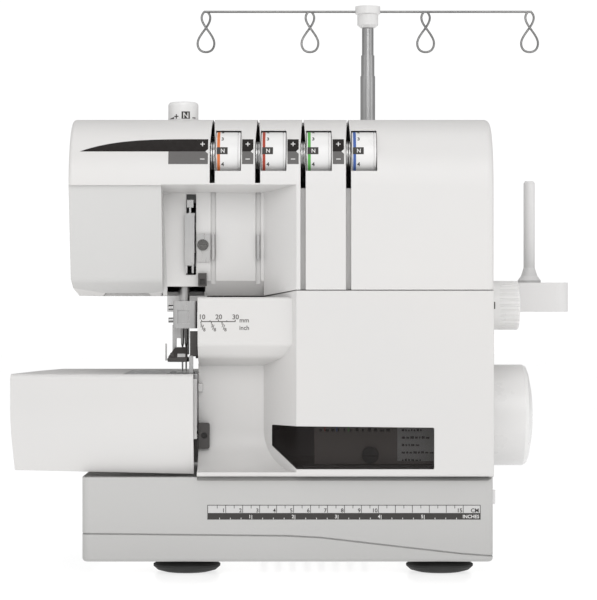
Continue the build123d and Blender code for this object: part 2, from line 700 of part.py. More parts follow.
def take_up_lever():
    """Lever with two prongs that works in the slot of the recess."""
    stem = block((-72.2, -68.2), (RECESS_FLOOR_Y - 1.2, -113.6), (196, 208))
    bar = block((-73.9, -68.3), (RECESS_FLOOR_Y - 3.4, RECESS_FLOOR_Y - 0.6), (182.5, 213.5))
    bar = fillet(bar.edges().filter_by(Axis.Y), 1.6)
    tab = block((-72.6, -68.8), (RECESS_FLOOR_Y - 3.0, RECESS_FLOOR_Y - 0.6), (217, 221.5))
    neck = block((-71.4, -70.2), (RECESS_FLOOR_Y - 2.2, RECESS_FLOOR_Y - 1.2), (213, 217.5))
    prongs = block((-73.6, -72.4), (RECESS_FLOOR_Y - 2.6, RECESS_FLOOR_Y - 1.2), (178, 184))
    prongs += block((-69.8, -68.6), (RECESS_FLOOR_Y - 2.6, RECESS_FLOOR_Y - 1.2), (178, 184))
    slider = block((-72.4, -68.0), (-115.1, -113.6), (190, 214))
    return (stem + bar + tab + neck + prongs + slider).solid()


def needle_thread_guides():
    """Guide plate with its screw, and the wire clips in the grooves of the recess."""
    plate = block((-67.0, -59.0), (RECESS_FLOOR_Y - 1.0, RECESS_FLOOR_Y), (184.6, 201.5))
    plate += rod_y(-63.2, (RECESS_FLOOR_Y - 3.0, RECESS_FLOOR_Y - 0.9), 194.8, 3.4)
    plate -= block((-66.0, -60.4), (RECESS_FLOOR_Y - 3.5, RECESS_FLOOR_Y - 2.3), (194.4, 195.2))
    parts = [plate.solid()]
    for place in SLOT_CENTRES_X[:2]:
        clip = block((place - 0.6, place + 0.6), (-121.5, RECESS_FLOOR_Y + 1.3), (186, 201))
        clip -= block((place - 1, place + 1), (-120.5, RECESS_FLOOR_Y), (188, 199))
        parts.append(clip.solid())
    hook = block((-66.0, -61.0), (-121.0, RECESS_FLOOR_Y), (170.2, 178))
    hook -= block((-65.0, -62.0), (-122, RECESS_FLOOR_Y - 1), (171.2, 174.5))
    parts.append(hook.solid())
    return Compound(children=parts)


def presser_bar():
    """Presser bar with its collar and the ankle that holds the foot."""
    bar = rod_z(PRESSER_X, PRESSER_Y, (140, 250), PRESSER_RADIUS)
    bar += rod_z(PRESSER_X, PRESSER_Y, (234, 236.5), 5.5)
    bar += block((-82.2, -72.4), (-101.3, -91), (139, 147))
    bar += block((-82.2, -80.0), (-101.3, -94), (129.2, 140))
    bar += block((-74.6, -72.4), (-101.3, -94), (129.2, 140))
    bar += block((PRESSER_X - 2, LIFTER_X + 3), (-92, -84), (LIFTER_Z + 10.8, LIFTER_Z + 15))
    bar -= rod_x((-83, -72), *FOOT_PIVOT, 1.2 + RUNNING_GAP)
    return bar.solid()


def presser_spring():
    """Coil spring between the bar's collar and the pressure screw."""
    path = Helix(pitch=3.6, height=19.8, radius=4.3)
    start = Plane(origin=path @ 0, z_dir=path % 0)
    coil = sweep(start * Circle(0.7), path=path)
    return (Pos(PRESSER_X, PRESSER_Y, 237.5) * coil).solid()


def presser_foot():
    """Foot with a sole, a needle opening, a pivot pin and a thread hook on its left."""
    plan = [
        (-83.9, -91),
        (-70.6, -91),
        (-70.6, -113),
        (-72.4, -115),
        (-72.4, -121),
        (-75, -124),
        (-83.9, -124),
    ]
    foot = prism("Z", plan, (FOOT_SOLE_Z, FOOT_SOLE_Z + 2.4))
    foot += block((-79.6, -75.0), (-101, -93), (FOOT_SOLE_Z + 2, 133.6))
    foot += rod_x((-81.9, -72.7), *FOOT_PIVOT, 1.2)
    toe = [(-124.5, 125.4), (-124.5, 127.6), (-116, 133.6), (-112.6, 133.6), (-112.6, 127), (-119, 125.4)]
    foot += prism("X", toe, (-83.6, -72.6))
    foot -= prism("Y", [(-84.5, 127.0), (-79.5, 134.5), (-84.5, 134.5)], (-126, -112.6))
    foot += block((-82.5, -80.5), (-123, -106), (FOOT_SOLE_Z + 2, 130.5))
    foot += block((-82.5, -73.5), (-119, -114), (FOOT_SOLE_Z + 2, 130.5))
    foot -= block((-78.2, -72.0), (-112.5, -103), (FOOT_SOLE_Z - 1, FOOT_SOLE_Z + 4))
    foot += block((-86.0, -83.5), (-112, -111), (FOOT_SOLE_Z + 0.6, FOOT_SOLE_Z + 1.8))
    foot += block((-86.0, -85.0), (-112, -111), (FOOT_SOLE_Z + 0.6, 136))
    return foot.solid()


def presser_lifter():
    """Lifting lever: handle behind the head, shaft and cam inside it."""
    lifter = rod_y(LIFTER_X, (-90, 26), LIFTER_Z, LIFTER_RADIUS)
    lifter += rod_y(LIFTER_X, (-90, -85), LIFTER_Z + 6.7, 3)
    lifter += block((LIFTER_X - 3, LIFTER_X + 3), (-90, -85), (LIFTER_Z, LIFTER_Z + 6.7))
    grip = [(-4, -4), (4, -4), (4, 4), (-4, 4), (-46, 5), (-50, 2), (-50, -3), (-46, -5)]
    handle = prism("Y", grip, (22, 30))
    lifter += Pos(LIFTER_X, 0, LIFTER_Z) * Rot(0, 20, 0) * handle
    return lifter.solid()


def upper_knife_arm():
    """Arm on its pivot, with the dark knife holder at its front."""
    y, z = KNIFE_PIVOT
    arm = block((-69.6, -66.6), (-118, y), (z - 2.6, z + 2.2))
    arm += rod_x((-69.6, -63.4), y, z, 5)
    arm += rod_x((-64, -47), y, z, 3)
    arm += block((-70.7, -66.5), (-124, -115.5), (129, 143.5))
    return arm.solid()


def upper_knife_blade():
    """Blade with a slanted cutting edge."""
    points = [(-122.5, 117.2), (-118, 118.4), (-118, 129), (-122.5, 129)]
    return prism("X", points, (-71.3, -69.0)).solid()


def lower_knife():
    """Lower knife: blade at the edge of the needle plate on its sliding holder."""
    knife = block((-68.0, -66.4), (-126, -113.5), (104, BED_Z - 0.3))
    knife += block((-68.0, -66.4), (-126, -112.5), (98, 108))
    knife += block((-68.0, -66.4), (-126, -121), (84, 99))
    return knife.solid()


def upper_looper():
    """Upper looper: arm and curved tip right of the needles."""
    y, z = UPPER_LOOPER_PIVOT
    side = [(y - 5, z - 1), (y + 2, z + 4), (-99, 108), (-104, 108), (-104, 104.3)]
    arm = prism("X", side, (-57.5, -54.5))
    arm += rod_x((-58.5, -50), y, z, 5)
    arm += rod_x((-51, -33), y, z, 3)
    arm += block((-65.4, -54.5), (-103.4, -100.8), (104.0, 106.6))
    return arm.solid()


def lower_looper():
    """Lower looper: arm and a long tip that reaches under the needles."""
    y, z = LOWER_LOOPER_PIVOT
    side = [(y - 4, z - 1), (y + 4, z + 2), (-97, 95.5), (-102, 95.5), (-102, 91)]
    arm = prism("X", side, (-48, -45))
    arm += rod_x((-49, -40), y, z, 5)
    arm += rod_x((-41, -33), y, z, 3)
    arm += block((-79, -45), (-100.8, -98.6), (92.1, 94.7))
    return arm.solid()


def cover_latch():
    """Dark latch plate on the cover's cove, beside the free arm."""
    centre_z = COVER_BOTTOM_Z + COVE_RADIUS + COVER_WALL
    across = (-65.8, -59.2)
    cove = rod_x(across, FRONT_Y, centre_z, COVE_RADIUS)
    cove += block(across, (FRONT_Y, COVE_WALL_Y), (centre_z, centre_z + 10))
    plan = rectangle((-65.8, 73.6), (-59.2, 88.8))
    latch = prism("Y", plan, (-121.4, COVE_WALL_Y), radii=(0.3, 1.2, 1.2, 0.3)) & cove
    latch -= rod_y(-62.4, (-122, -118), 81.4, 1.8)
    return latch.solid()


def inner_panel():
    """Panel behind the looper cover, with the threading chart and its screw."""
    panel = block((3, RIGHT_X - WALL), (-124, -122), (64.5, 160))
    panel += rod_y(36.2, (-126.5, -124), 70, 5)
    panel -= block((31, 41.4), (-127, -125.6), (69.5, 70.5))
    panel += block((3, RIGHT_X - WALL), (-122, -112), (64.5, 67))
    return panel.solid()


def chassis_frame():
    """Base plate, two bulkheads, the head brackets and the beam between them."""
    frame = block((-50, 100), (-105, 60), (BASE_BOTTOM_Z + WALL, 15))
    frame += block((80, 85), (-80, 56), (14, 152))
    frame += block((-52, -47), (-60, 56), (14, 215))
    frame += block((-52, -47), (-72, -60), (120, 215))
    frame += block((-52, -33), (-64, -60), (62, 100))
    frame += block((-38, -33), (-82, -60), (62, 100))
    frame += block((-52, 85), (30, 36), (120, 152))
    frame += block((-90, -47), (-112.6, -58), (182, 188))
    frame += block((-90, -47), (-112.6, -58), (220, 226))
    frame += block((-90, -47), (-62, -58), (182, 226))
    frame -= rod_z(NEEDLE_X, NEEDLE_Y, (180, 230), NEEDLE_BAR_RADIUS + RUNNING_GAP)
    frame -= rod_z(PRESSER_X, PRESSER_Y, (180, 230), PRESSER_RADIUS + RUNNING_GAP)
    frame -= rod_y(LIFTER_X, (-120, -50), LIFTER_Z, LIFTER_RADIUS + RUNNING_GAP)
    frame -= rod_x((-53, -46), *KNIFE_PIVOT, 3 + RUNNING_GAP)
    frame -= rod_x((-39, -32), *UPPER_LOOPER_PIVOT, 3 + RUNNING_GAP)
    frame -= rod_x((-39, -32), *LOWER_LOOPER_PIVOT, 3 + RUNNING_GAP)
    frame -= rod_x((79, 86), SHAFT_Y, SHAFT_Z, 9)
    frame -= rod_x((-53, -46), SHAFT_Y, SHAFT_Z, 9)
    frame -= rod_x((79, 86), MOTOR_Y, MOTOR_Z, 10)
    return frame.solid()


def shaft_bearings():
    """Two plain bearings for the main shaft."""
    rings = []
    for span in ((80, 85), (-52, -47)):
        bore = rod_x(span, SHAFT_Y, SHAFT_Z, SHAFT_RADIUS + RUNNING_GAP)
        rings.append((rod_x(span, SHAFT_Y, SHAFT_Z, 9) - bore).solid())
    return Compound(children=rings)


def drive_motor():
    """Motor body bolted to the right bulkhead."""
    motor = rod_x((18, 80), MOTOR_Y, MOTOR_Z, 25)
    motor = fillet(motor.edges(), 3)
    motor += rod_x((80, 82), MOTOR_Y, MOTOR_Z, 9.8)
    motor -= rod_x((60, 90), MOTOR_Y, MOTOR_Z, 3 + RUNNING_GAP)
    return motor.solid()


def motor_pulley():
    """Small pulley on the motor's shaft."""
    pulley = rod_x(PULLEY_X, MOTOR_Y, MOTOR_Z, MOTOR_PULLEY_RADIUS)
    pulley += rod_x((62, PULLEY_X[0]), MOTOR_Y, MOTOR_Z, 3)
    return pulley.solid()


def belt_loop(grow):
    """Convex loop round both pulleys, larger than them by grow."""
    circles = Sketch() + [
        Pos(SHAFT_Y, SHAFT_Z) * Circle(PULLEY_RADIUS + grow),
        Pos(MOTOR_Y, MOTOR_Z) * Circle(MOTOR_PULLEY_RADIUS + grow),
    ]
    face = sketch_plane("X", PULLEY_X[0] + 1) * make_hull(circles.edges())
    return extrude(face, amount=PULLEY_X[1] - PULLEY_X[0] - 2, dir=(1, 0, 0))


def drive_belt():
    """Belt round the two pulleys."""
    return (belt_loop(2.2) - belt_loop(0.2)).solid()


def main_shaft():
    """Main shaft with two eccentrics."""
    shaft = rod_x((-56, 135.2), SHAFT_Y, SHAFT_Z, SHAFT_RADIUS)
    shaft += rod_x((-26, -18), SHAFT_Y + 3, SHAFT_Z, 10)
    shaft += rod_x((14, 22), SHAFT_Y, SHAFT_Z + 3, 10)
    return shaft.solid()


def shaft_pulley():
    """Large pulley on the main shaft."""
    pulley = rod_x(PULLEY_X, SHAFT_Y, SHAFT_Z, PULLEY_RADIUS)
    pulley -= rod_x(PULLEY_X, SHAFT_Y, SHAFT_Z, SHAFT_RADIUS + 0.02)
    return pulley.solid()


def handwheel():
    """Handwheel with a slightly domed face, a grip groove and a hub hollow behind."""
    r = WHEEL_RADIUS
    points = [(5, 0), (9, 0), (9, 8), (r - 3, 8), (r - 3, 1.5), (r - 0.8, 1.0), (r, 2.5)]
    points += [(r, 22.0), (r - 1.2, 24.2), (r - 5, 25.6), (r - 14, 27.4)]
    points += [(0, 28.0), (0, 25), (5, 25)]
    return turned(points, (110.4, SHAFT_Y, SHAFT_Z), "X").solid()


def grip_dial(y, radius, length):
    """Side dial with a grooved rim and a short shaft into the casing."""
    face_x = RIGHT_X + 0.4
    dial = rod_x((face_x, face_x + length), y, SIDE_DIAL_Z, radius)
    dial = fillet(dial.edges().group_by(Axis.X)[-1], 1.6)
    for step in range(28):
        angle = 2 * math.pi * step / 28
        dy, dz = (radius + 0.3) * math.cos(angle), (radius + 0.3) * math.sin(angle)
        groove = rod_x((face_x + 8, face_x + length + 1), y + dy, SIDE_DIAL_Z + dz, 1.0)
        dial -= groove
    dial += rod_x((92, face_x + 1), y, SIDE_DIAL_Z, 3.9)
    return dial.solid()


def pressure_dial():
    """Presser foot pressure dial on top of the head, with its screw."""
    y = PRESSER_Y - 1
    dial = rod_z(PRESSER_X, y, (263, 281.5), 9.1)
    dial = fillet(dial.edges().group_by(Axis.Z)[-1], 2.2)
    dial += rod_z(PRESSER_X, y, (258.4, 263.5), 5.0)
    return dial.solid()


def switch_bezel():
    """Frame of the power switch in the base's right wall."""
    y, z = (SWITCH_Y - 8, SWITCH_Y + 8), (SWITCH_Z - 7, SWITCH_Z + 7)
    frame = block((RIGHT_X - 12, RIGHT_X + 1.2), y, z)
    hollow = ((SWITCH_Y - 6.4, SWITCH_Y + 6.4), (SWITCH_Z - 5, SWITCH_Z + 5))
    frame -= block((RIGHT_X - 10, RIGHT_X + 2), *hollow)
    return frame.solid()


def power_rocker():
    """Round-backed rocker of the power switch, with two sloping faces."""
    x, y = RIGHT_X - 1, SWITCH_Y
    rocker = rod_z(x, y, (SWITCH_Z - 4.2, SWITCH_Z + 4.2), ROCKER_RADIUS)
    front = [(x + 8, y - 8), (x + 5.6, y - 8), (x + 2.2, y), (x + 2.2, y + 8), (x + 8, y + 8)]
    rocker -= prism("Z", front, (SWITCH_Z - 5, SWITCH_Z + 5))
    return rocker.solid()


def power_inlet():
    """Mains inlet with its hollow and two pins."""
    x = (RIGHT_X - 20, RIGHT_X + 0.8)
    inlet = block(x, (INLET_Y - 14, INLET_Y + 14), (INLET_Z - 10, INLET_Z + 10))
    hollow = ((INLET_Y - 10, INLET_Y + 10), (INLET_Z - 6.5, INLET_Z + 6.5))
    inlet -= block((RIGHT_X - 16, RIGHT_X + 2), *hollow)
    for side in (-5.5, 5.5):
        inlet += rod_x((RIGHT_X - 17, RIGHT_X - 4), INLET_Y + side, INLET_Z, 1.4)
    return inlet.solid()


def lamp_lens():
    """Clear cover of the sewing lamp in the head's underside."""
    return block((-111.8, -92.2), (-99.8, -70.2), (HEAD_BOTTOM_Z, HEAD_BOTTOM_Z + WALL)).solid()


def control_board():
    """Circuit board of the motor control, with its largest parts."""
    board = block((-118, -62), (-80, -20), (22, 23.6))
    board += block((-112, -98), (-74, -60), (23, 36))
    board += block((-90, -74), (-50, -28), (23, 33))
    for x in (-114, -66):
        for y in (-76, -24):
            board += rod_z(x, y, (BASE_BOTTOM_Z + WALL, 22.5), 2.5)
    return board.solid()


def spool_stand():
    """Shallow tray behind the machine, with bosses for the pins and the mast."""
    low, high = (STAND_LEFT_X, STAND_FRONT_Y), (STAND_RIGHT_X, STAND_BACK_Y)
    stand = prism("Z", rectangle(low, high), STAND_Z, radii=9.0)
    inner = rectangle((low[0] + WALL, low[1] + WALL), (high[0] - WALL, high[1] - WALL))
    stand -= prism("Z", inner, (STAND_Z[0] + WALL, STAND_Z[1] + 5), radii=7.0)
    stand += rod_z(MAST_X, MAST_Y, (STAND_Z[0] + 1, STAND_Z[1] + 6), 8.5)
    stand -= rod_z(MAST_X, MAST_Y, (STAND_Z[0] + WALL, STAND_Z[1] + 8), 5.05)
    return stand.solid()


def stand_brackets():
    """Two brackets from the back cover to the spool stand."""
    brackets = []
    for x in (-36.0, 84.0):
        side = [(BACK_Y, 128), (BACK_Y, 152), (76.5, 154.1), (120, 154.1), (120, 150)]
        brackets.append(prism("X", side, (x - 8, x + 8)).solid())
    return Compound(children=brackets)


def spool_pin(x):
    """Spool pin with a wide foot and a cone that centres the thread reel."""
    floor = STAND_Z[0] + WALL
    points = [(0, floor), (11, floor), (11, floor + 2), (PIN_RADIUS, floor + 4)]
    points += [(PIN_RADIUS, 173.8), (7.9, 173.8), (7.9, 175.4), (5.6, 178.5), (PIN_RADIUS, 184)]
    points += [(PIN_RADIUS, PIN_TOP_Z - 1.5), (PIN_RADIUS - 1.2, PIN_TOP_Z), (0, PIN_TOP_Z)]
    return turned(points, (x, MAST_Y + 3, 0)).solid()


def tube(radius, bore, z):
    """Mast tube."""
    return (rod_z(MAST_X, MAST_Y, z, radius) - rod_z(MAST_X, MAST_Y, z, bore)).solid()


def thread_guide_head():
    """Cap on the mast that holds the guide bar."""
    points = [(0, 335), (2.95, 335), (2.95, 347.7), (5.0, 347.7), (7.15, 349.5)]
    points += [(7.15, 356.7), (8.5, 357.2), (8.5, MAST_TOP_Z), (0, MAST_TOP_Z)]
    cap = turned(points, (MAST_X, MAST_Y, 0))
    cap -= rod_x((MAST_X - 10, MAST_X + 10), MAST_Y, GUIDE_ROD_Z, GUIDE_ROD_RADIUS + RUNNING_GAP)
    return cap.solid()


def twisted_eyelet(x):
    """Wire that crosses itself below the bar and opens into a drop-shaped eyelet."""
    half = [(1.0, 0.2, GUIDE_ROD_Z), (2.9, 0.6, 354.4), (0.0, 1.1, 347.9), (-4.2, 0.8, 341.8)]
    half += [(-5.7, 0.4, 337.2), (-3.9, 0.1, 332.6)]
    left = [Vector(x + dx, MAST_Y + dy, z) for dx, dy, z in half]
    right = [Vector(x - dx, MAST_Y - dy, z) for dx, dy, z in reversed(half)]
    path = Spline(*left, Vector(x, MAST_Y, 331.3), *right)
    section = Plane(origin=path @ 0, z_dir=path % 0) * Circle(GUIDE_WIRE_RADIUS)
    return sweep(section, path=path)


def thread_guide_bar():
    """Guide bar with a twisted wire eyelet above each spool."""
    bar = rod_x((MAST_X - 112, MAST_X + 112), MAST_Y, GUIDE_ROD_Z, GUIDE_ROD_RADIUS)
    for offset in THREAD_OFFSETS:
        bar += twisted_eyelet(MAST_X + offset)
    return bar.solid()


shell = body_solid(0) - body_solid(WALL)
pieces = {
    "base_tray": base_tray(),
    "lower_housing": lower_housing(shell),
    "upper_housing": upper_housing(shell),
    "rear_housing": rear_housing(shell),
    "front_cover": front_cover(),
    "front_cover_window": front_cover_window(),
    "front_cover_carriage": front_cover_carriage(),
    "free_arm_cover": free_arm_cover(),
    "free_arm_housing": free_arm_housing(),
    "cover_latch": cover_latch(),
    "needle_plate": needle_plate(),
    "main_feed_dog": main_feed_dog(),
    "differential_feed_dog": differential_feed_dog(),
    "rubber_feet": rubber_feet(),
    "housing_screws": Compound(children=[rear_screw(x, z) for x, z in REAR_SCREWS]),
    "plate_screws": Compound(children=[plate_screw(x, y) for x, y in PLATE_SCREWS]),
    "tension_discs": tension_discs(),
    "needle_thread_guides": needle_thread_guides(),
    "take_up_lever": take_up_lever(),
    "needle_bar": needle_bar(),
    "needle_clamp": needle_clamp(),
    "needles": Compound(children=[needle(-75.8, -109.0), needle(-73.7, -107.0)]),
    "presser_bar": presser_bar(),
    "presser_spring": presser_spring(),
    "presser_foot": presser_foot(),
    "presser_lifter": presser_lifter(),
    "upper_knife_arm": upper_knife_arm(),
    "upper_knife_blade": upper_knife_blade(),
    "lower_knife": lower_knife(),
    "upper_looper": upper_looper(),
    "lower_looper": lower_looper(),
    "inner_panel": inner_panel(),
    "chassis_frame": chassis_frame(),
    "shaft_bearings": shaft_bearings(),
    "drive_motor": drive_motor(),
    "motor_pulley": motor_pulley(),
    "drive_belt": drive_belt(),
    "main_shaft": main_shaft(),
    "shaft_pulley": shaft_pulley(),
    "handwheel": handwheel(),
    "stitch_length_dial": grip_dial(STITCH_DIAL_Y, 15.1, 20.3),
    "differential_feed_dial": grip_dial(FEED_DIAL_Y, 15.1, 18.3),
    "pressure_dial": pressure_dial(),
    "switch_bezel": switch_bezel(),
    "power_rocker": power_rocker(),
    "power_inlet": power_inlet(),
    "lamp_lens": lamp_lens(),
    "control_board": control_board(),
    "spool_stand": spool_stand(),
    "stand_brackets": stand_brackets(),
    "spool_pins": Compound(children=[spool_pin(MAST_X + offset) for offset in THREAD_OFFSETS]),
    "mast_lower_tube": tube(5.05, 4.6, (STAND_Z[0] + WALL, 314.8)),
    "mast_middle_tube": tube(4.55, 4.0, (172, 328.9)),
    "mast_upper_tube": tube(3.95, 3.0, (190, 347.4)),
    "thread_guide_head": thread_guide_head(),
    "thread_guide_bar": thread_guide_bar(),
}
for number, centre_x in enumerate(DIAL_CENTRES_X, start=1):
    pieces[f"tension_dial_{number}"] = tension_dial(centre_x)

for name, piece in pieces.items():
    export_step(piece, f"parts/{name}.step")
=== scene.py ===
"""Looks of the serger overlock machine: materials, printed marks, light and camera, in metres."""

import math
import random

import bmesh
import bpy
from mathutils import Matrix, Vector


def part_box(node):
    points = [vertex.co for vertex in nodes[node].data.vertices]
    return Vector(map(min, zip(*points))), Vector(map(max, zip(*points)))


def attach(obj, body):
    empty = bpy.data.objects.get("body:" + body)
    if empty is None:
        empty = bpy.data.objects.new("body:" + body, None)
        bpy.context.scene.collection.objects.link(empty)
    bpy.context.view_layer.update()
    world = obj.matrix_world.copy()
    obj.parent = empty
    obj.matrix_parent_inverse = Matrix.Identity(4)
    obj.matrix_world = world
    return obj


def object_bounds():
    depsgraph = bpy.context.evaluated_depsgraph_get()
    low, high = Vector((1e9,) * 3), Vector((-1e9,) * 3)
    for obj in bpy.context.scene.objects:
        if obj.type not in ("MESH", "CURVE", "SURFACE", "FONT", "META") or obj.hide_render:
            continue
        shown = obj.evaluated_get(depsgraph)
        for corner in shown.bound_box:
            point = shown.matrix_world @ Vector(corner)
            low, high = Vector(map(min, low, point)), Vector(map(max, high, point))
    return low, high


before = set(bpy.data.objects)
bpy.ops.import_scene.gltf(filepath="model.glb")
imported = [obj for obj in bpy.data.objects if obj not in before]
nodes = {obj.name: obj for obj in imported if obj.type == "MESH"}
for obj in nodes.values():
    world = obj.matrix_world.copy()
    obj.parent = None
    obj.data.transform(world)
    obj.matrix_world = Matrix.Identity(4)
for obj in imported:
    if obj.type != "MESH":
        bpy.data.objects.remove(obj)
cad_low, cad_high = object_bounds()
rng = random.Random(7)

MM = 0.001
INK_DEPTH = 0.05 * MM
NARROW_INK = 2 * MM
WIDE_INK_ROWS = 6
CAPITAL_SHARE = 0.7
INCH = 25.4 * MM
DECK_Z = 57.8 * MM
# reach of the painted shade in corners and under overhangs
PAINTED_SHADE_REACH = 60 * MM

# ---------------------------------------------------------------- materials


class Material:
    """One procedural material, built up node by node."""

    def __init__(self, name):
        self.material = bpy.data.materials.new(name)
        self.material.use_nodes = True
        self.tree = self.material.node_tree
        self.shader = self.tree.nodes["Principled BSDF"]
        self.place = self.node("ShaderNodeTexCoord").outputs["Object"]

    def node(self, kind):
        """New shader node of the given kind."""
        return self.tree.nodes.new(kind)

    def link(self, source, target):
        """Wire from an output socket to an input socket."""
        self.tree.links.new(source, target)

    def noise(self, scale, detail=3.0, stretch=None):
        """Noise in object space, stretched along an axis where asked."""
        texture = self.node("ShaderNodeTexNoise")
        texture.inputs["Scale"].default_value = scale
        texture.inputs["Detail"].default_value = detail
        place = self.place
        if stretch:
            mapping = self.node("ShaderNodeMapping")
            mapping.inputs["Scale"].default_value = stretch
            self.link(self.place, mapping.inputs["Vector"])
            place = mapping.outputs["Vector"]
        self.link(place, texture.inputs["Vector"])
        return texture.outputs["Fac"]

    def ramp(self, value, low, high, low_out=0.0, high_out=1.0):
        """Value mapped from low..high to low_out..high_out and clamped."""
        node = self.node("ShaderNodeMapRange")
        node.inputs["From Min"].default_value = low
        node.inputs["From Max"].default_value = high
        node.inputs["To Min"].default_value = low_out
        node.inputs["To Max"].default_value = high_out
        self.link(value, node.inputs["Value"])
        return node.outputs["Result"]

    def mix(self, factor, first, second):
        """Colour between two colours, each a tuple or a socket."""
        node = self.node("ShaderNodeMix")
        node.data_type = "RGBA"
        self.link(factor, node.inputs["Factor"])
        for socket, value in ((node.inputs[6], first), (node.inputs[7], second)):
            if isinstance(value, tuple):
                socket.default_value = (*value, 1.0)
            else:
                self.link(value, socket)
        return node.outputs[2]

    def multiply(self, first, second):
        """Product of two values."""
        node = self.node("ShaderNodeMath")
        node.operation = "MULTIPLY"
        self.link(first, node.inputs[0])
        self.link(second, node.inputs[1])
        return node.outputs[0]

    def soft_edges(self, radius):
        """Normal rounded over sharp edges, and a mask that is 1 on them."""
        bevel = self.node("ShaderNodeBevel")
        bevel.samples = 4
        bevel.inputs["Radius"].default_value = radius
        geometry = self.node("ShaderNodeNewGeometry")
        dot = self.node("ShaderNodeVectorMath")
        dot.operation = "DOT_PRODUCT"
        self.link(bevel.outputs["Normal"], dot.inputs[0])
        self.link(geometry.outputs["Normal"], dot.inputs[1])
        return bevel.outputs["Normal"], self.ramp(dot.outputs["Value"], 0.995, 0.86)

    def above(self, height):
        """Mask that is 1 above the given height."""
        parts = self.node("ShaderNodeSeparateXYZ")
        self.link(self.place, parts.inputs[0])
        return self.ramp(parts.outputs["Z"], height - 0.1 * MM, height + 0.1 * MM)

    def sheltered(self, most):
        """Mask that rises in corners and under overhangs, used to paint shade there."""
        painted_shade_node = self.node("ShaderNodeAmbientOcclusion")
        painted_shade_node.samples = 8
        painted_shade_node.inputs["Distance"].default_value = PAINTED_SHADE_REACH
        return self.ramp(painted_shade_node.outputs["AO"], 0.95, 0.35, 0.0, most)

    def finish(self, colour, roughness, height=None, strength=0.1, distance=0.0002, normal=None):
        """Wires colour, roughness and any bump and normal into the shader, and returns the material."""
        self.link(colour, self.shader.inputs["Base Color"])
        self.link(roughness, self.shader.inputs["Roughness"])
        if height is not None:
            bump = self.node("ShaderNodeBump")
            bump.inputs["Strength"].default_value = strength
            bump.inputs["Distance"].default_value = distance
            self.link(height, bump.inputs["Height"])
            if normal is not None:
                self.link(normal, bump.inputs["Normal"])
            normal = bump.outputs["Normal"]
        if normal is not None:
            self.link(normal, self.shader.inputs["Normal"])
        return self.material


def plastic(name, colour, tone, roughness=0.36, edge=0.6 * MM, grain=0.06, upper=None, shade=0.75):
    """Moulded plastic: slight flow marks, fine grain, handled edges, painted shade in corners and under
    overhangs, lighter above the deck if asked.
    """
    m = Material(name)
    flow = m.noise(9.0, 2.0)
    speck = m.noise(900.0, 2.0)
    base = m.mix(m.ramp(flow, 0.35, 0.65), colour, tone)
    if upper:
        base = m.mix(m.above(DECK_Z), base, upper)
    dust = tuple(c * 0.93 for c in tone)
    base = m.mix(m.ramp(speck, 0.66, 0.9, 0.0, 0.25), base, dust)
    # painted shade: the colour goes darker in corners and under overhangs
    base = m.mix(m.sheltered(shade), base, tuple(c * 0.72 for c in tone))
    normal, worn = m.soft_edges(edge)
    scuffs = m.multiply(worn, m.ramp(m.noise(140.0, 4.0), 0.5, 0.62, 0.0, 0.35))
    base = m.mix(scuffs, base, tuple(min(1.0, c * 1.08 + 0.02) for c in colour))
    rough = m.ramp(m.noise(60.0, 4.0), 0.3, 0.7, roughness - 0.04, roughness + 0.06)
    return m.finish(base, rough, m.noise(1400.0, 2.0), grain, 0.0001, normal)


def metal(name, colour, tone, roughness=0.3, brushed=None, edge=0.25 * MM, strength=0.12):
    """Machined or plated metal with fine lines along one axis."""
    m = Material(name)
    m.shader.inputs["Metallic"].default_value = 1.0
    lines = m.noise(700.0, 3.0, brushed or (1.0, 1.0, 1.0))
    stain = m.noise(35.0, 3.0)
    base = m.mix(m.ramp(stain, 0.35, 0.7), colour, tone)
    base = m.mix(m.ramp(lines, 0.3, 0.8, 0.0, 0.35), base, tuple(c * 0.7 for c in tone))
    normal, worn = m.soft_edges(edge)
    base = m.mix(m.multiply(worn, m.ramp(stain, 0.3, 0.6, 0.2, 0.7)), base, (0.9, 0.9, 0.9))
    rough = m.ramp(lines, 0.25, 0.75, roughness - 0.06, roughness + 0.1)
    return m.finish(base, rough, lines, strength, 0.00005, normal)


def dull(name, colour, tone, roughness, scale=500.0, strength=0.3, edge=0.4 * MM):
    """Rubber, cast or painted surface with a visible texture."""
    m = Material(name)
    cloud = m.noise(30.0, 4.0)
    base = m.mix(m.ramp(cloud, 0.3, 0.7), colour, tone)
    normal, worn = m.soft_edges(edge)
    rubbed = m.multiply(worn, m.ramp(cloud, 0.35, 0.6, 0.1, 0.5))
    base = m.mix(rubbed, base, tuple(c * 1.6 + 0.03 for c in tone))
    rough = m.ramp(m.noise(80.0, 3.0), 0.3, 0.7, roughness - 0.08, roughness + 0.06)
    return m.finish(base, rough, m.noise(scale, 3.0), strength, 0.0002, normal)


def smoky_pane():
    """Smoky clear plastic: dark body that lets some of the inside show."""
    m = Material("smoky_pane")
    haze = m.noise(25.0, 3.0)
    base = m.mix(m.ramp(haze, 0.3, 0.7), (0.012, 0.009, 0.008), (0.018, 0.014, 0.013))
    m.shader.inputs["Alpha"].default_value = 0.4
    m.shader.inputs["Specular IOR Level"].default_value = 0.3
    rough = m.ramp(m.noise(90.0, 3.0), 0.3, 0.7, 0.12, 0.22)
    return m.finish(base, rough, m.noise(300.0, 2.0), 0.02, 0.0001)


def frosted_lens():
    """Lamp cover with a fine ribbed texture."""
    m = Material("frosted_lens")
    ribs = m.noise(500.0, 2.0, (6.0, 0.3, 1.0))
    base = m.mix(m.ramp(ribs, 0.3, 0.7), (0.82, 0.82, 0.8), (0.9, 0.9, 0.88))
    m.shader.inputs["Transmission Weight"].default_value = 0.4
    rough = m.ramp(ribs, 0.3, 0.7, 0.35, 0.5)
    return m.finish(base, rough, ribs, 0.3, 0.0003)


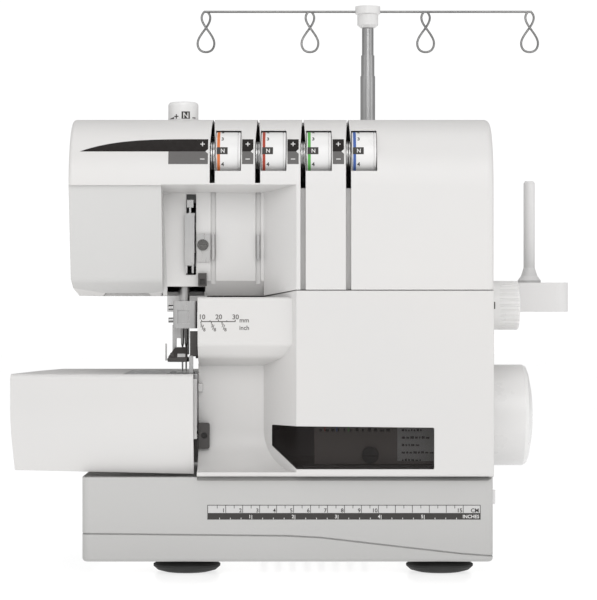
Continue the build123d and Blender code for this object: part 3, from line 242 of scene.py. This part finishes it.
def ink(name, colour):
    """Printed ink with slightly uneven cover."""
    m = Material(name)
    cover = m.noise(260.0, 4.0)
    lighter = tuple(c + (0.9 - c) * 0.005 for c in colour)
    base = m.mix(m.ramp(cover, 0.45, 0.75), colour, lighter)
    rough = m.ramp(m.noise(420.0, 2.0), 0.3, 0.7, 0.5, 0.65)
    m.shader.inputs["Specular IOR Level"].default_value = 0.25
    return m.finish(base, rough, m.noise(1200.0, 2.0), 0.08, 0.00005)


SHELL_TONE = (0.77, 0.755, 0.742)
WHITE = plastic("white_shell", (0.775, 0.76, 0.745), (0.76, 0.75, 0.74), 0.38)
HEAD_WHITE = plastic("head_shell", (0.79, 0.776, 0.762), (0.78, 0.77, 0.76), 0.36)
DIAL_WHITE = plastic("dial_white", (0.89, 0.88, 0.87), (0.87, 0.865, 0.86), 0.3, 0.35 * MM, shade=0.3)
# darker copy of the head shell: painted shade on the front of the head below the brow
HEAD_FACE_PAINTED_SHADE = plastic("head_face", (0.69, 0.685, 0.675), (0.675, 0.67, 0.66), 0.38)
# base shell, darker than the other shells below the deck: partly the base's own greyer tone, partly painted
# shade on the low front
BASE_TONE_AND_SHADE = plastic("base_shell", (0.6, 0.595, 0.585), (0.58, 0.575, 0.565), 0.4, upper=SHELL_TONE)
STAND_WHITE = plastic("stand_white", (0.83, 0.82, 0.815), (0.80, 0.80, 0.795), 0.4)
BLACK_PLASTIC = plastic("black_plastic", (0.02, 0.02, 0.02), (0.03, 0.03, 0.03), 0.42, 0.3 * MM, 0.2)
PANEL = plastic("chart_panel", (0.36, 0.31, 0.29), (0.32, 0.28, 0.26), 0.5)
STEEL = metal("steel", (0.62, 0.61, 0.60), (0.5, 0.5, 0.5), 0.3, (1.0, 1.0, 0.06))
PLATE_STEEL = metal("plate_steel", (0.55, 0.55, 0.55), (0.45, 0.45, 0.45), 0.34, (1.0, 0.05, 1.0))
MAST_METAL = metal("mast_metal", (0.5, 0.5, 0.5), (0.43, 0.43, 0.43), 0.33, (1.0, 1.0, 0.03))
WIRE = metal("chrome_wire", (0.34, 0.335, 0.33), (0.25, 0.25, 0.25), 0.3)
BRONZE = metal("bronze", (0.55, 0.38, 0.2), (0.45, 0.3, 0.16), 0.4)
DARK_STEEL = dull("dark_part", (0.05, 0.045, 0.043), (0.07, 0.065, 0.062), 0.4, 800.0, 0.1)
SCREW_STEEL = metal("screw_steel", (0.17, 0.165, 0.16), (0.12, 0.12, 0.115), 0.28)
CAST = dull("cast_frame", (0.2, 0.2, 0.2), (0.26, 0.26, 0.26), 0.6, 300.0, 0.5)
MOTOR = dull("motor_case", (0.05, 0.05, 0.055), (0.07, 0.07, 0.07), 0.45, 400.0, 0.2)
RUBBER = dull("rubber", (0.012, 0.012, 0.012), (0.02, 0.02, 0.019), 0.7, 600.0, 0.35)
BOARD = dull("board_green", (0.02, 0.10, 0.04), (0.03, 0.13, 0.05), 0.45, 200.0, 0.2)
PANE = smoky_pane()
LENS = frosted_lens()
BLACK_INK = ink("black_ink", (0.012, 0.009, 0.008))
GREY_INK = ink("grey_ink", (0.15, 0.145, 0.142))
SCALE_INK = ink("scale_ink", (0.055, 0.052, 0.05))
TONGUE_INK = ink("tongue_ink", (0.16, 0.15, 0.145))
SCALE_GROUND = ink("scale_ground", (0.66, 0.655, 0.65))
WHITE_INK = ink("white_ink", (0.8, 0.79, 0.78))
ORANGE_INK = ink("orange_ink", (0.72, 0.2, 0.06))
RED_INK = ink("red_ink", (0.42, 0.07, 0.045))
GREEN_INK = ink("green_ink", (0.12, 0.45, 0.1))
BLUE_INK = ink("blue_ink", (0.07, 0.14, 0.42))

FINISHES = {
    WHITE: ("rear_housing", "front_cover", "free_arm_cover", "free_arm_housing"),
    BASE_TONE_AND_SHADE: ("base_tray", "lower_housing"),
    HEAD_WHITE: ("upper_housing", "stand_brackets"),
    STAND_WHITE: ("spool_stand", "spool_pins"),
    DIAL_WHITE: (
        "handwheel", "stitch_length_dial", "differential_feed_dial", "pressure_dial", "power_rocker",
        "tension_dial_1", "tension_dial_2", "tension_dial_3", "tension_dial_4", "thread_guide_head",
    ),
    BLACK_PLASTIC: ("switch_bezel", "power_inlet", "shaft_pulley", "presser_lifter"),
    PANEL: ("inner_panel",),
    STEEL: (
        "tension_discs", "needle_thread_guides", "take_up_lever", "needle_bar", "needle_clamp", "presser_bar",
        "presser_spring", "presser_foot", "upper_knife_blade", "lower_knife", "upper_looper", "lower_looper",
        "main_shaft", "motor_pulley", "housing_screws", "plate_screws",
    ),
    PLATE_STEEL: ("needle_plate", "main_feed_dog", "differential_feed_dog"),
    MAST_METAL: ("mast_lower_tube", "mast_middle_tube", "mast_upper_tube"),
    WIRE: ("needles", "thread_guide_bar"),
    BRONZE: ("shaft_bearings",),
    DARK_STEEL: ("cover_latch", "upper_knife_arm", "front_cover_carriage"),
    CAST: ("chassis_frame",),
    MOTOR: ("drive_motor",),
    RUBBER: ("rubber_feet", "drive_belt"),
    BOARD: ("control_board",),
    PANE: ("front_cover_window",),
    LENS: ("lamp_lens",),
}

for finish, names in FINISHES.items():
    for name in names:
        nodes[name].data.materials.clear()
        nodes[name].data.materials.append(finish)


def paint(node, finish, inside, front_only=False):
    """Another finish on the faces of a node whose middle passes the test."""
    mesh = nodes[node].data
    mesh.materials.append(finish)
    for face in mesh.polygons:
        if inside(face.center) and (face.normal.y < -0.5 or not front_only):
            face.material_index = len(mesh.materials) - 1


def near(x, z, radius, y_limit=1.0):
    """Test for faces within a radius of (x, z) and in front of y_limit."""
    return lambda p: math.hypot(p.x - x, p.z - z) < radius and p.y < y_limit


def head_face(p):
    """Front of the head left of the thread recess, below the brow, where a darker copy of the head shell
    paints shade.
    """
    return p.x < -83 * MM and p.y < -118 * MM and p.z < 229.5 * MM


def foot_toe(p):
    """Sloping toe in front of the needle opening of the presser foot."""
    return p.x > -84 * MM and p.y < -112.5 * MM and p.z > 125.3 * MM


guide_screw = near(-63.2 * MM, 194.8 * MM, 3.6 * MM, -118.95 * MM)
guide_hook = near(-63.5 * MM, 174.1 * MM, 5.0 * MM)
panel_screw = near(36.2 * MM, 70 * MM, 5.3 * MM, -124.05 * MM)
# painted shade: a darker copy of the head shell on the lower front of the head
paint("upper_housing", HEAD_FACE_PAINTED_SHADE, head_face, front_only=True)
paint("needle_thread_guides", SCREW_STEEL, guide_screw)
paint("needle_thread_guides", DARK_STEEL, guide_hook)
paint("presser_foot", DARK_STEEL, foot_toe)
paint("inner_panel", BLACK_PLASTIC, panel_screw)

# ---------------------------------------------------------------- printed marks


def plane_place(x, y, z):
    """Placing rule for a flat face that looks towards -Y: u to the right, v up, w outwards."""
    return lambda u, v, w: Vector((x + u, y - w, z + v))


def drum_place(x, y, z, radius, start):
    """Placing rule for a drum about X: v runs round the drum from the angle start."""

    def place(u, v, w):
        angle = start + v / radius
        reach = radius + w
        return Vector((x + u, y - reach * math.cos(angle), z + reach * math.sin(angle)))

    return place


def post_place(x, y, z, radius):
    """Placing rule for a round post about Z: u runs round it, seen from -Y."""

    def place(u, v, w):
        angle = u / radius
        reach = radius + w
        return Vector((x + reach * math.sin(angle), y - reach * math.cos(angle), z + v))

    return place


class Print:
    """Thin raised ink marks of one colour on one surface."""

    def __init__(self, place):
        self.place = place
        self.bm = bmesh.new()

    def column(self, low, high, left, right, steps=1):
        """Ink between the curves low(u) and high(u) from left to right."""
        rows = []
        count = max(1, steps)
        middle = (left + right) / 2
        across = 1 if high(middle) - low(middle) < NARROW_INK else WIDE_INK_ROWS
        for w in (0.0, INK_DEPTH):
            sheet = []
            for i in range(count + 1):
                u = left + (right - left) * i / count
                span = high(u) - low(u)
                line = [self.place(u, low(u) + span * j / across, w) for j in range(across + 1)]
                sheet.append([self.bm.verts.new(p) for p in line])
            rows.append(sheet)
        below, above = rows
        for i in range(count):
            for j in range(across):
                square = [(i, j), (i + 1, j), (i + 1, j + 1), (i, j + 1)]
                self.bm.faces.new([above[a][b] for a, b in square])
                self.bm.faces.new([below[a][b] for a, b in reversed(square)])
        rim = [(i, 0) for i in range(count)] + [(count, j) for j in range(across)]
        rim += [(i, across) for i in range(count, 0, -1)] + [(0, j) for j in range(across, 0, -1)]
        for (a, b), (c, d) in zip(rim, rim[1:] + rim[:1]):
            self.bm.faces.new([below[a][b], below[c][d], above[c][d], above[a][b]])

    def bar(self, left, bottom, right, top, steps=1):
        """Ink in a rectangle."""
        self.column(lambda u: bottom, lambda u: top, left, right, steps)

    def text(self, words, height, u, v, align="CENTER", bold=0.018):
        """Digits or signs, centred on v, with the given height of a capital."""
        curve = bpy.data.curves.new("words", "FONT")
        curve.body = words
        curve.size = height / CAPITAL_SHARE
        curve.align_x = align
        curve.resolution_u = 3
        curve.offset = bold * curve.size
        holder = bpy.data.objects.new("words", curve)
        bpy.context.scene.collection.objects.link(holder)
        mesh = bpy.data.meshes.new_from_object(holder)
        part = bmesh.new()
        part.from_mesh(mesh)
        solid = bmesh.ops.extrude_face_region(part, geom=part.faces[:])
        raised = {g for g in solid["geom"] if isinstance(g, bmesh.types.BMVert)}
        made = {}
        for vert in part.verts:
            w = INK_DEPTH if vert in raised else 0.0
            made[vert] = self.bm.verts.new(self.place(u + vert.co.x, v + vert.co.y - height / 2, w))
        for face in part.faces:
            self.bm.faces.new([made[x] for x in face.verts])
        part.free()
        bpy.data.objects.remove(holder)
        bpy.data.curves.remove(curve)
        bpy.data.meshes.remove(mesh)

    def piece(self, name, body, material):
        """One object of all the ink drawn so far, riding on the given body."""
        bmesh.ops.recalc_face_normals(self.bm, faces=self.bm.faces[:])
        mesh = bpy.data.meshes.new(name)
        self.bm.to_mesh(mesh)
        self.bm.free()
        mesh.materials.append(material)
        made = bpy.data.objects.new(name, mesh)
        bpy.context.scene.collection.objects.link(made)
        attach(made, body)
        return made


def base_ruler():
    """Centimetre and inch scale along the front of the base: u is the distance from the zero mark."""
    zero_x, bottom_z = -59.2 * MM, 32.6 * MM
    left, right = -0.8 * MM, 160.2 * MM
    light, top = 3.5 * MM, 8.6 * MM
    line = 0.34 * MM
    cm_digit_v, inch_digit_v = 5.4 * MM, 1.8 * MM
    beside_mark = 0.5 * MM
    front_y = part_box("lower_housing")[0].y
    layers = [plane_place(zero_x, front_y - layer * INK_DEPTH, bottom_z) for layer in range(3)]
    ground, dark, pale = [Print(layer) for layer in layers]
    ground.bar(left, light, right, top)
    ground.piece("ruler_ground", "machine", SCALE_GROUND)
    dark.bar(left, 0.0, right, light)
    for v in (light, top - line):
        dark.bar(left, v, right, v + line)
    for u in (left, right - line):
        dark.bar(u, light, u + line, top)
    for step in range(1, 31):
        u = step * 5 * MM
        deep = 2.0 * MM if step % 2 else 4.6 * MM
        dark.bar(u - line / 2, top - deep, u + line / 2, top)
    for number in (1, 2, 3, 4, 5, 6, 7, 8, 9, 10, 15):
        dark.text(str(number), 2.3 * MM, number * 10 * MM - beside_mark, cm_digit_v, "RIGHT")
    dark.text("CM", 2.3 * MM, right - 0.9 * MM, cm_digit_v, "RIGHT")
    dark.piece("ruler_ink", "machine", SCALE_INK)
    for quarter in range(1, 24):
        u = quarter * INCH / 4
        tall = 2.7 * MM if quarter % 4 == 0 else 1.1 * MM
        pale.bar(u - line / 2, 0.15 * MM, u + line / 2, tall)
    for number in range(1, 6):
        pale.text(str(number), 2.0 * MM, number * INCH - beside_mark, inch_digit_v, "RIGHT")
    pale.text("INCHES", 2.0 * MM, right - 0.8 * MM, inch_digit_v, "RIGHT")
    pale.piece("ruler_pale_ink", "machine", WHITE_INK)


def tongue_ruler():
    """Seam guide on the tongue of the front cover, in millimetres and eighths of an inch."""
    zero_x, line_z = -63.3 * MM, 149.3 * MM
    tongue_back = 3 * MM
    half_line = 0.28 * MM
    tick_pitch = 4.95 * MM
    unit_u = 25.1 * MM
    front_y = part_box("front_cover")[0].y
    marks = Print(plane_place(zero_x, front_y + tongue_back, line_z))
    marks.bar(0, -half_line, 4 * tick_pitch, half_line)
    for step in range(5):
        u = step * tick_pitch
        tall = (1.1 if step % 2 == 0 else 0.7) * MM
        marks.bar(u - half_line, 0, u + half_line, tall)
    for number in (10, 20, 30):
        marks.text(str(number), 2.8 * MM, ((number - 10) * 0.99 + 0.2) * MM, 2.8 * MM)
    for step, top in enumerate(("5", "3", "7")):
        u = (-0.4 + 6.2 * step) * MM
        marks.bar(u - half_line, -1.1 * MM, u + half_line, 0)
        marks.text(top, 2.0 * MM, u + 0.3 * MM, -2.3 * MM)
        marks.text("/", 2.8 * MM, u + 1.1 * MM, -3.3 * MM)
        marks.text("8", 2.0 * MM, u + 2.0 * MM, -4.7 * MM)
    marks.text("mm", 2.6 * MM, unit_u, 0.9 * MM)
    marks.text("inch", 2.5 * MM, unit_u, -3.6 * MM)
    marks.piece("tongue_ruler_ink", "front_cover", TONGUE_INK)


BROW_RADIUS = 40.7 * MM
BROW_CENTRE_Y = cad_low.y + BROW_RADIUS
BROW_Z = 229.8 * MM


def brow_place(u, v, w):
    """Placing rule for the rounded brow: u is X and v is the height above the floor."""
    angle = math.asin(max(0.0, min(1.0, (v - BROW_Z) / BROW_RADIUS)))
    reach = BROW_RADIUS + w
    return Vector((u, BROW_CENTRE_Y - reach * math.cos(angle), BROW_Z + reach * math.sin(angle)))


LABEL_LOW, LABEL_MIDDLE, LABEL_HIGH = 241.9 * MM, 249.5 * MM, 257.0 * MM
THINNEST = 0.02 * MM
DIAL_PITCH = 26.7 * MM
FIRST_SLOT_X = -57.0 * MM
SLOT_MARGIN = 2.6 * MM
LABEL_WIDTH = 6.6 * MM


def brow_sweep(tip, right):
    """Upper edge of the dark sweep: it rises quickly from its tip and then levels off."""
    length = right - tip
    rise = LABEL_HIGH - LABEL_MIDDLE

    def edge(u):
        return LABEL_MIDDLE + rise * (1.0 - (1.0 - (u - tip) / length) ** 3.7) + THINNEST

    return edge


def arrow_edge(left, width, height):
    """Edge of an arrowhead that opens to the right: above its axis, or below it for a negative height."""

    def edge(u):
        return LABEL_MIDDLE + height * max(0.02, (u - left) / width)

    return edge


def brow_labels():
    """Dark sweep, and a box with plus, arrow and minus to the left of each tension dial."""
    tip = -135.1 * MM
    grey_width = 23.3 * MM
    half, thick = 1.3 * MM, 0.26 * MM
    plus_z, minus_z = 254.0 * MM, 244.9 * MM
    arrow_width, arrow_height = 1.5 * MM, 1.4 * MM
    dark, grey = Print(brow_place), Print(brow_place)
    pale = Print(lambda u, v, w: brow_place(u, v, w + INK_DEPTH))
    for slot in range(4):
        right = FIRST_SLOT_X + slot * DIAL_PITCH - SLOT_MARGIN
        middle = right - LABEL_WIDTH / 2
        if slot == 0:
            dark.column(lambda u: LABEL_MIDDLE, brow_sweep(tip, right), tip, right, 40)
            grey.bar(right - grey_width, LABEL_LOW, right, LABEL_MIDDLE, 6)
        else:
            dark.bar(right - LABEL_WIDTH, LABEL_MIDDLE, right, LABEL_HIGH)
            grey.bar(right - LABEL_WIDTH, LABEL_LOW, right, LABEL_MIDDLE)
        pale.bar(middle - half, plus_z - thick, middle + half, plus_z + thick)
        pale.bar(middle - thick, plus_z - half, middle + thick, plus_z + half)
        pale.bar(middle - half, minus_z - thick, middle + half, minus_z + thick)
        arrow_left = right - arrow_width
        lower = arrow_edge(arrow_left, arrow_width, -arrow_height)
        upper = arrow_edge(arrow_left, arrow_width, arrow_height)
        pale.column(lower, upper, arrow_left, right, 4)
    dark.piece("brow_dark_ink", "machine", BLACK_INK)
    grey.piece("brow_grey_ink", "machine", GREY_INK)
    pale.piece("brow_pale_ink", "machine", WHITE_INK)


def tension_dial_marks():
    """Colour band, digits and the boxed N on each tension drum."""
    bands = (ORANGE_INK, RED_INK, GREEN_INK, BLUE_INK)
    sequence = ("1", "2", "3", "N", "4", "5", "6", "7")
    turn = math.radians(9.7)
    between = math.radians(33.0)
    slices = 40
    band_left, band_right = 0.7 * MM, 2.4 * MM
    digit_u, letter_u = 3.9 * MM, 4.0 * MM
    box_left, box_right = 0.5 * MM, 6.9 * MM
    box_half, box_slices = 2.1 * MM, 4
    for number, band_ink in enumerate(bands, start=1):
        body = f"tension_dial_{number}"
        low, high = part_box(body)
        radius = (high.z - low.z) / 2
        centre_y, centre_z = (low.y + high.y) / 2, (low.z + high.z) / 2
        step = between * radius
        reaches = [radius + layer * INK_DEPTH for layer in range(3)]
        band, dark, pale = [Print(drum_place(low.x, centre_y, centre_z, r, turn)) for r in reaches]
        start, end = -5.0 * step, 4.4 * step
        for piece in range(slices):
            a = start + (end - start) * piece / slices
            b = start + (end - start) * (piece + 1) / slices
            band.bar(band_left, a, band_right, b)
        for place_number, sign in enumerate(sequence):
            v = (3 - place_number) * step
            if sign == "N":
                slice_height = 2 * box_half / box_slices
                for part in range(box_slices):
                    a = v - box_half + part * slice_height
                    dark.bar(box_left, a, box_right, a + slice_height)
                pale.text("N", 2.3 * MM, letter_u, v)
            else:
                dark.text(sign, 2.4 * MM, digit_u, v)
        band.piece(f"dial_{number}_band", body, band_ink)
        dark.piece(f"dial_{number}_dark_ink", body, SCALE_INK)
        pale.piece(f"dial_{number}_pale_ink", body, WHITE_INK)


def pressure_dial_marks():
    """Wedge, plus, boxed N and minus round the pressure dial, with u = 0 at the middle of its front."""
    below_top = 8.6 * MM
    bottom = -1.9 * MM
    box_left, box_slices, slice_width = -0.7 * MM, 6, 0.85 * MM
    overlap = 0.01 * MM
    low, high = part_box("pressure_dial")
    radius = (high.x - low.x) / 2
    centre = (low + high) / 2
    dark = Print(post_place(centre.x, centre.y, high.z - below_top, radius))
    pale = Print(post_place(centre.x, centre.y, high.z - below_top, radius + INK_DEPTH))
    for part in range(box_slices):
        u = box_left + part * slice_width
        dark.bar(u, bottom, u + slice_width + overlap, 2.5 * MM)
    pale.text("N", 3.3 * MM, 1.9 * MM, 0.2 * MM)
    dark.bar(-5.4 * MM, -0.75 * MM, -2.6 * MM, -0.15 * MM, 3)
    dark.bar(-4.3 * MM, bottom, -3.7 * MM, 0.9 * MM)

    def ramp(u):
        return bottom + 1.2 * MM * (u + 9.6 * MM) / (4.0 * MM)

    dark.column(lambda u: bottom - THINNEST, ramp, -9.5 * MM, -5.6 * MM, 5)
    dark.bar(6.2 * MM, -1.6 * MM, 8.8 * MM, -0.9 * MM, 3)
    dark.piece("pressure_dial_ink", "pressure_dial", SCALE_INK)
    pale.piece("pressure_dial_pale_ink", "pressure_dial", WHITE_INK)


def side_dial_marks():
    """Boxed N and digits round the two side dials."""
    digits = (("1", 66), ("2", 33), ("3", -33), ("4", -66))
    box_slices, slice_height, box_width = 4, 1.1 * MM, 4.4 * MM
    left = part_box("lower_housing")[1].x + 0.9 * MM
    for name in ("stitch_length_dial", "differential_feed_dial"):
        low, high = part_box(name)
        radius = (high.z - low.z) / 2
        centre_y, centre_z = (low.y + high.y) / 2, (low.z + high.z) / 2
        dark = Print(drum_place(left, centre_y, centre_z, radius, 0.0))
        for part in range(box_slices):
            bottom = (part - box_slices / 2) * slice_height
            dark.bar(0, bottom, box_width, bottom + slice_height)
        for sign, angle in digits:
            dark.text(sign, 2.6 * MM, 2.6 * MM, math.radians(angle) * radius)
        dark.piece(f"{name}_ink", name, SCALE_INK)
        pale = Print(drum_place(left, centre_y, centre_z, radius + INK_DEPTH, 0.0))
        pale.text("N", 2.6 * MM, 2.2 * MM, 0.0)
        pale.piece(f"{name}_pale_ink", name, WHITE_INK)


def foot_mark():
    """Pale marker bar on the sloping toe of the presser foot."""
    run, rise = 8.5 * MM, 6.0 * MM
    slope = math.hypot(run, rise)
    along, up = run / slope, rise / slope
    low_y, low_z = -124.5 * MM, 127.6 * MM

    def place(u, v, w):
        return Vector((u, low_y + along * v - up * w, low_z + up * v + along * w))

    mark = Print(place)
    mark.bar(-78.2 * MM, 0.9 * MM, -73.6 * MM, 4.2 * MM)
    mark.piece("foot_mark", "presser_foot", SCALE_GROUND)


def threading_chart():
    """Generic thread paths and lines of notes on the panel behind the window."""
    low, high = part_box("inner_panel")
    face = -124.0 * MM
    path_foot, path_top, path_width = 84 * MM, 150 * MM, 0.7 * MM
    note_left, note_bottom, note_pitch = 55 * MM, 66.5 * MM, 4.4 * MM
    word_gap = 0.7 * MM
    colours = {"red": RED_INK, "green": GREEN_INK, "blue": BLUE_INK, "dark": SCALE_INK}
    prints = {key: Print(plane_place(0, face - INK_DEPTH, 0)) for key in colours}
    ground = Print(plane_place(0, face, 0))
    ground.bar(52.3 * MM, low.z + 2 * MM, 100 * MM, high.z - 4 * MM)
    for index, key in enumerate(("red", "blue", "green")):
        path = prints[key]
        start = (9 + 7 * index) * MM
        path.bar(start, path_foot, start + path_width, path_top)
        for dot in range(4):
            z = (96 + 14 * dot) * MM
            path.bar(start - 0.8 * MM, z, start + 1.5 * MM, z + 2.2 * MM)
    dark = prints["dark"]
    for column in range(12):
        wide = (1.0 + 1.6 * rng.random()) * MM
        u = (6 + 3.6 * column) * MM
        dark.bar(u, path_foot, u + wide, (85.2 + 1.4 * rng.random()) * MM)
    for row in range(5):
        v = note_bottom + row * note_pitch
        u = note_left
        row_end = (66 + 6 * (row % 2)) * MM
        while u < row_end:
            wide = (0.8 + 1.6 * rng.random()) * MM
            dark.bar(u, v, u + wide, v + (0.8 + 0.7 * rng.random()) * MM)
            u += wide + word_gap
    ground.piece("chart_ground", "machine", SCALE_GROUND)
    for key, marks in prints.items():
        marks.piece(f"chart_{key}", "machine", colours[key])


base_ruler()
tongue_ruler()
brow_labels()
tension_dial_marks()
pressure_dial_marks()
side_dial_marks()
foot_mark()
threading_chart()

# ---------------------------------------------------------------- stage, light and camera

WORLD_FILL = 0.42
WORLD_SEEN = 1.05
FLOOR_REACH = 6.0
FLOOR_GLOW = 0.7
CAMERA_LENS = 153.3
CAMERA_SENSOR = 36.0
CAMERA_DISTANCE = 1.5
CAMERA_X, CAMERA_Z = -6.3 * MM, 162 * MM
# name, place, size in metres, power in watts
SOFTBOXES = (
    ("key", (0.1, -1.5, 0.95), (1.3, 1.0), 8.2),
    ("left", (-1.5, -0.9, 0.7), (0.9, 1.2), 1.5),
    ("right", (1.5, -0.7, 0.7), (0.9, 1.2), 2.5),
    ("top", (0.0, -0.2, 1.9), (1.6, 1.2), 6.0),
)


def floor():
    """Large pale floor that glows a little, like a lit studio sweep."""
    bm = bmesh.new()
    reach = FLOOR_REACH
    corners = [(-reach, -reach), (reach, -reach), (reach, reach), (-reach, reach)]
    bm.faces.new([bm.verts.new((x, y, 0.0)) for x, y in corners])
    mesh = bpy.data.meshes.new("floor")
    bm.to_mesh(mesh)
    bm.free()
    m = Material("floor_white")
    base = m.mix(m.noise(0.8, 2.0), (0.42, 0.42, 0.42), (0.45, 0.45, 0.45))
    rough = m.ramp(m.noise(4.0, 2.0), 0.3, 0.7, 0.2, 0.25)
    m.shader.inputs["Emission Color"].default_value = (1.0, 1.0, 1.0, 1.0)
    m.shader.inputs["Emission Strength"].default_value = FLOOR_GLOW
    mesh.materials.append(m.finish(base, rough))
    made = bpy.data.objects.new("floor", mesh)
    bpy.context.scene.collection.objects.link(made)


def area_light(name, place, target, size, power):
    """Rectangular light of a size in metres and a power in watts, turned to the target."""
    light = bpy.data.lights.new(name, "AREA")
    light.shape = "RECTANGLE"
    light.size, light.size_y = size
    light.energy = power
    holder = bpy.data.objects.new(name, light)
    holder.location = place
    holder.rotation_mode = "QUATERNION"
    holder.rotation_quaternion = (Vector(target) - Vector(place)).to_track_quat("-Z", "Y")
    bpy.context.scene.collection.objects.link(holder)


def studio():
    """White surroundings with large softboxes in front and above and a weaker one on each side."""
    world = bpy.data.worlds.new("studio")
    world.use_nodes = True
    tree = world.node_tree
    background = tree.nodes["Background"]
    background.inputs["Color"].default_value = (1.0, 1.0, 1.0, 1.0)
    path = tree.nodes.new("ShaderNodeLightPath")
    strength = tree.nodes.new("ShaderNodeMapRange")
    strength.inputs["To Min"].default_value = WORLD_FILL
    strength.inputs["To Max"].default_value = WORLD_SEEN
    tree.links.new(path.outputs["Is Camera Ray"], strength.inputs["Value"])
    tree.links.new(strength.outputs["Result"], background.inputs["Strength"])
    bpy.context.scene.world = world
    middle = ((cad_low + cad_high) / 2)[:]
    for name, place, size, power in SOFTBOXES:
        area_light(name, place, middle, size, power)
    bpy.context.scene.view_settings.view_transform = "Standard"


def camera():
    """Level camera square to the front, a little below the middle height of the machine."""
    data = bpy.data.cameras.new("camera")
    data.lens = CAMERA_LENS
    data.sensor_width = CAMERA_SENSOR
    holder = bpy.data.objects.new("camera", data)
    holder.location = (CAMERA_X, cad_low.y - CAMERA_DISTANCE, CAMERA_Z)
    holder.rotation_euler = (math.pi / 2, 0, 0)
    bpy.context.scene.collection.objects.link(holder)
    bpy.context.scene.camera = holder


floor()
studio()
camera()
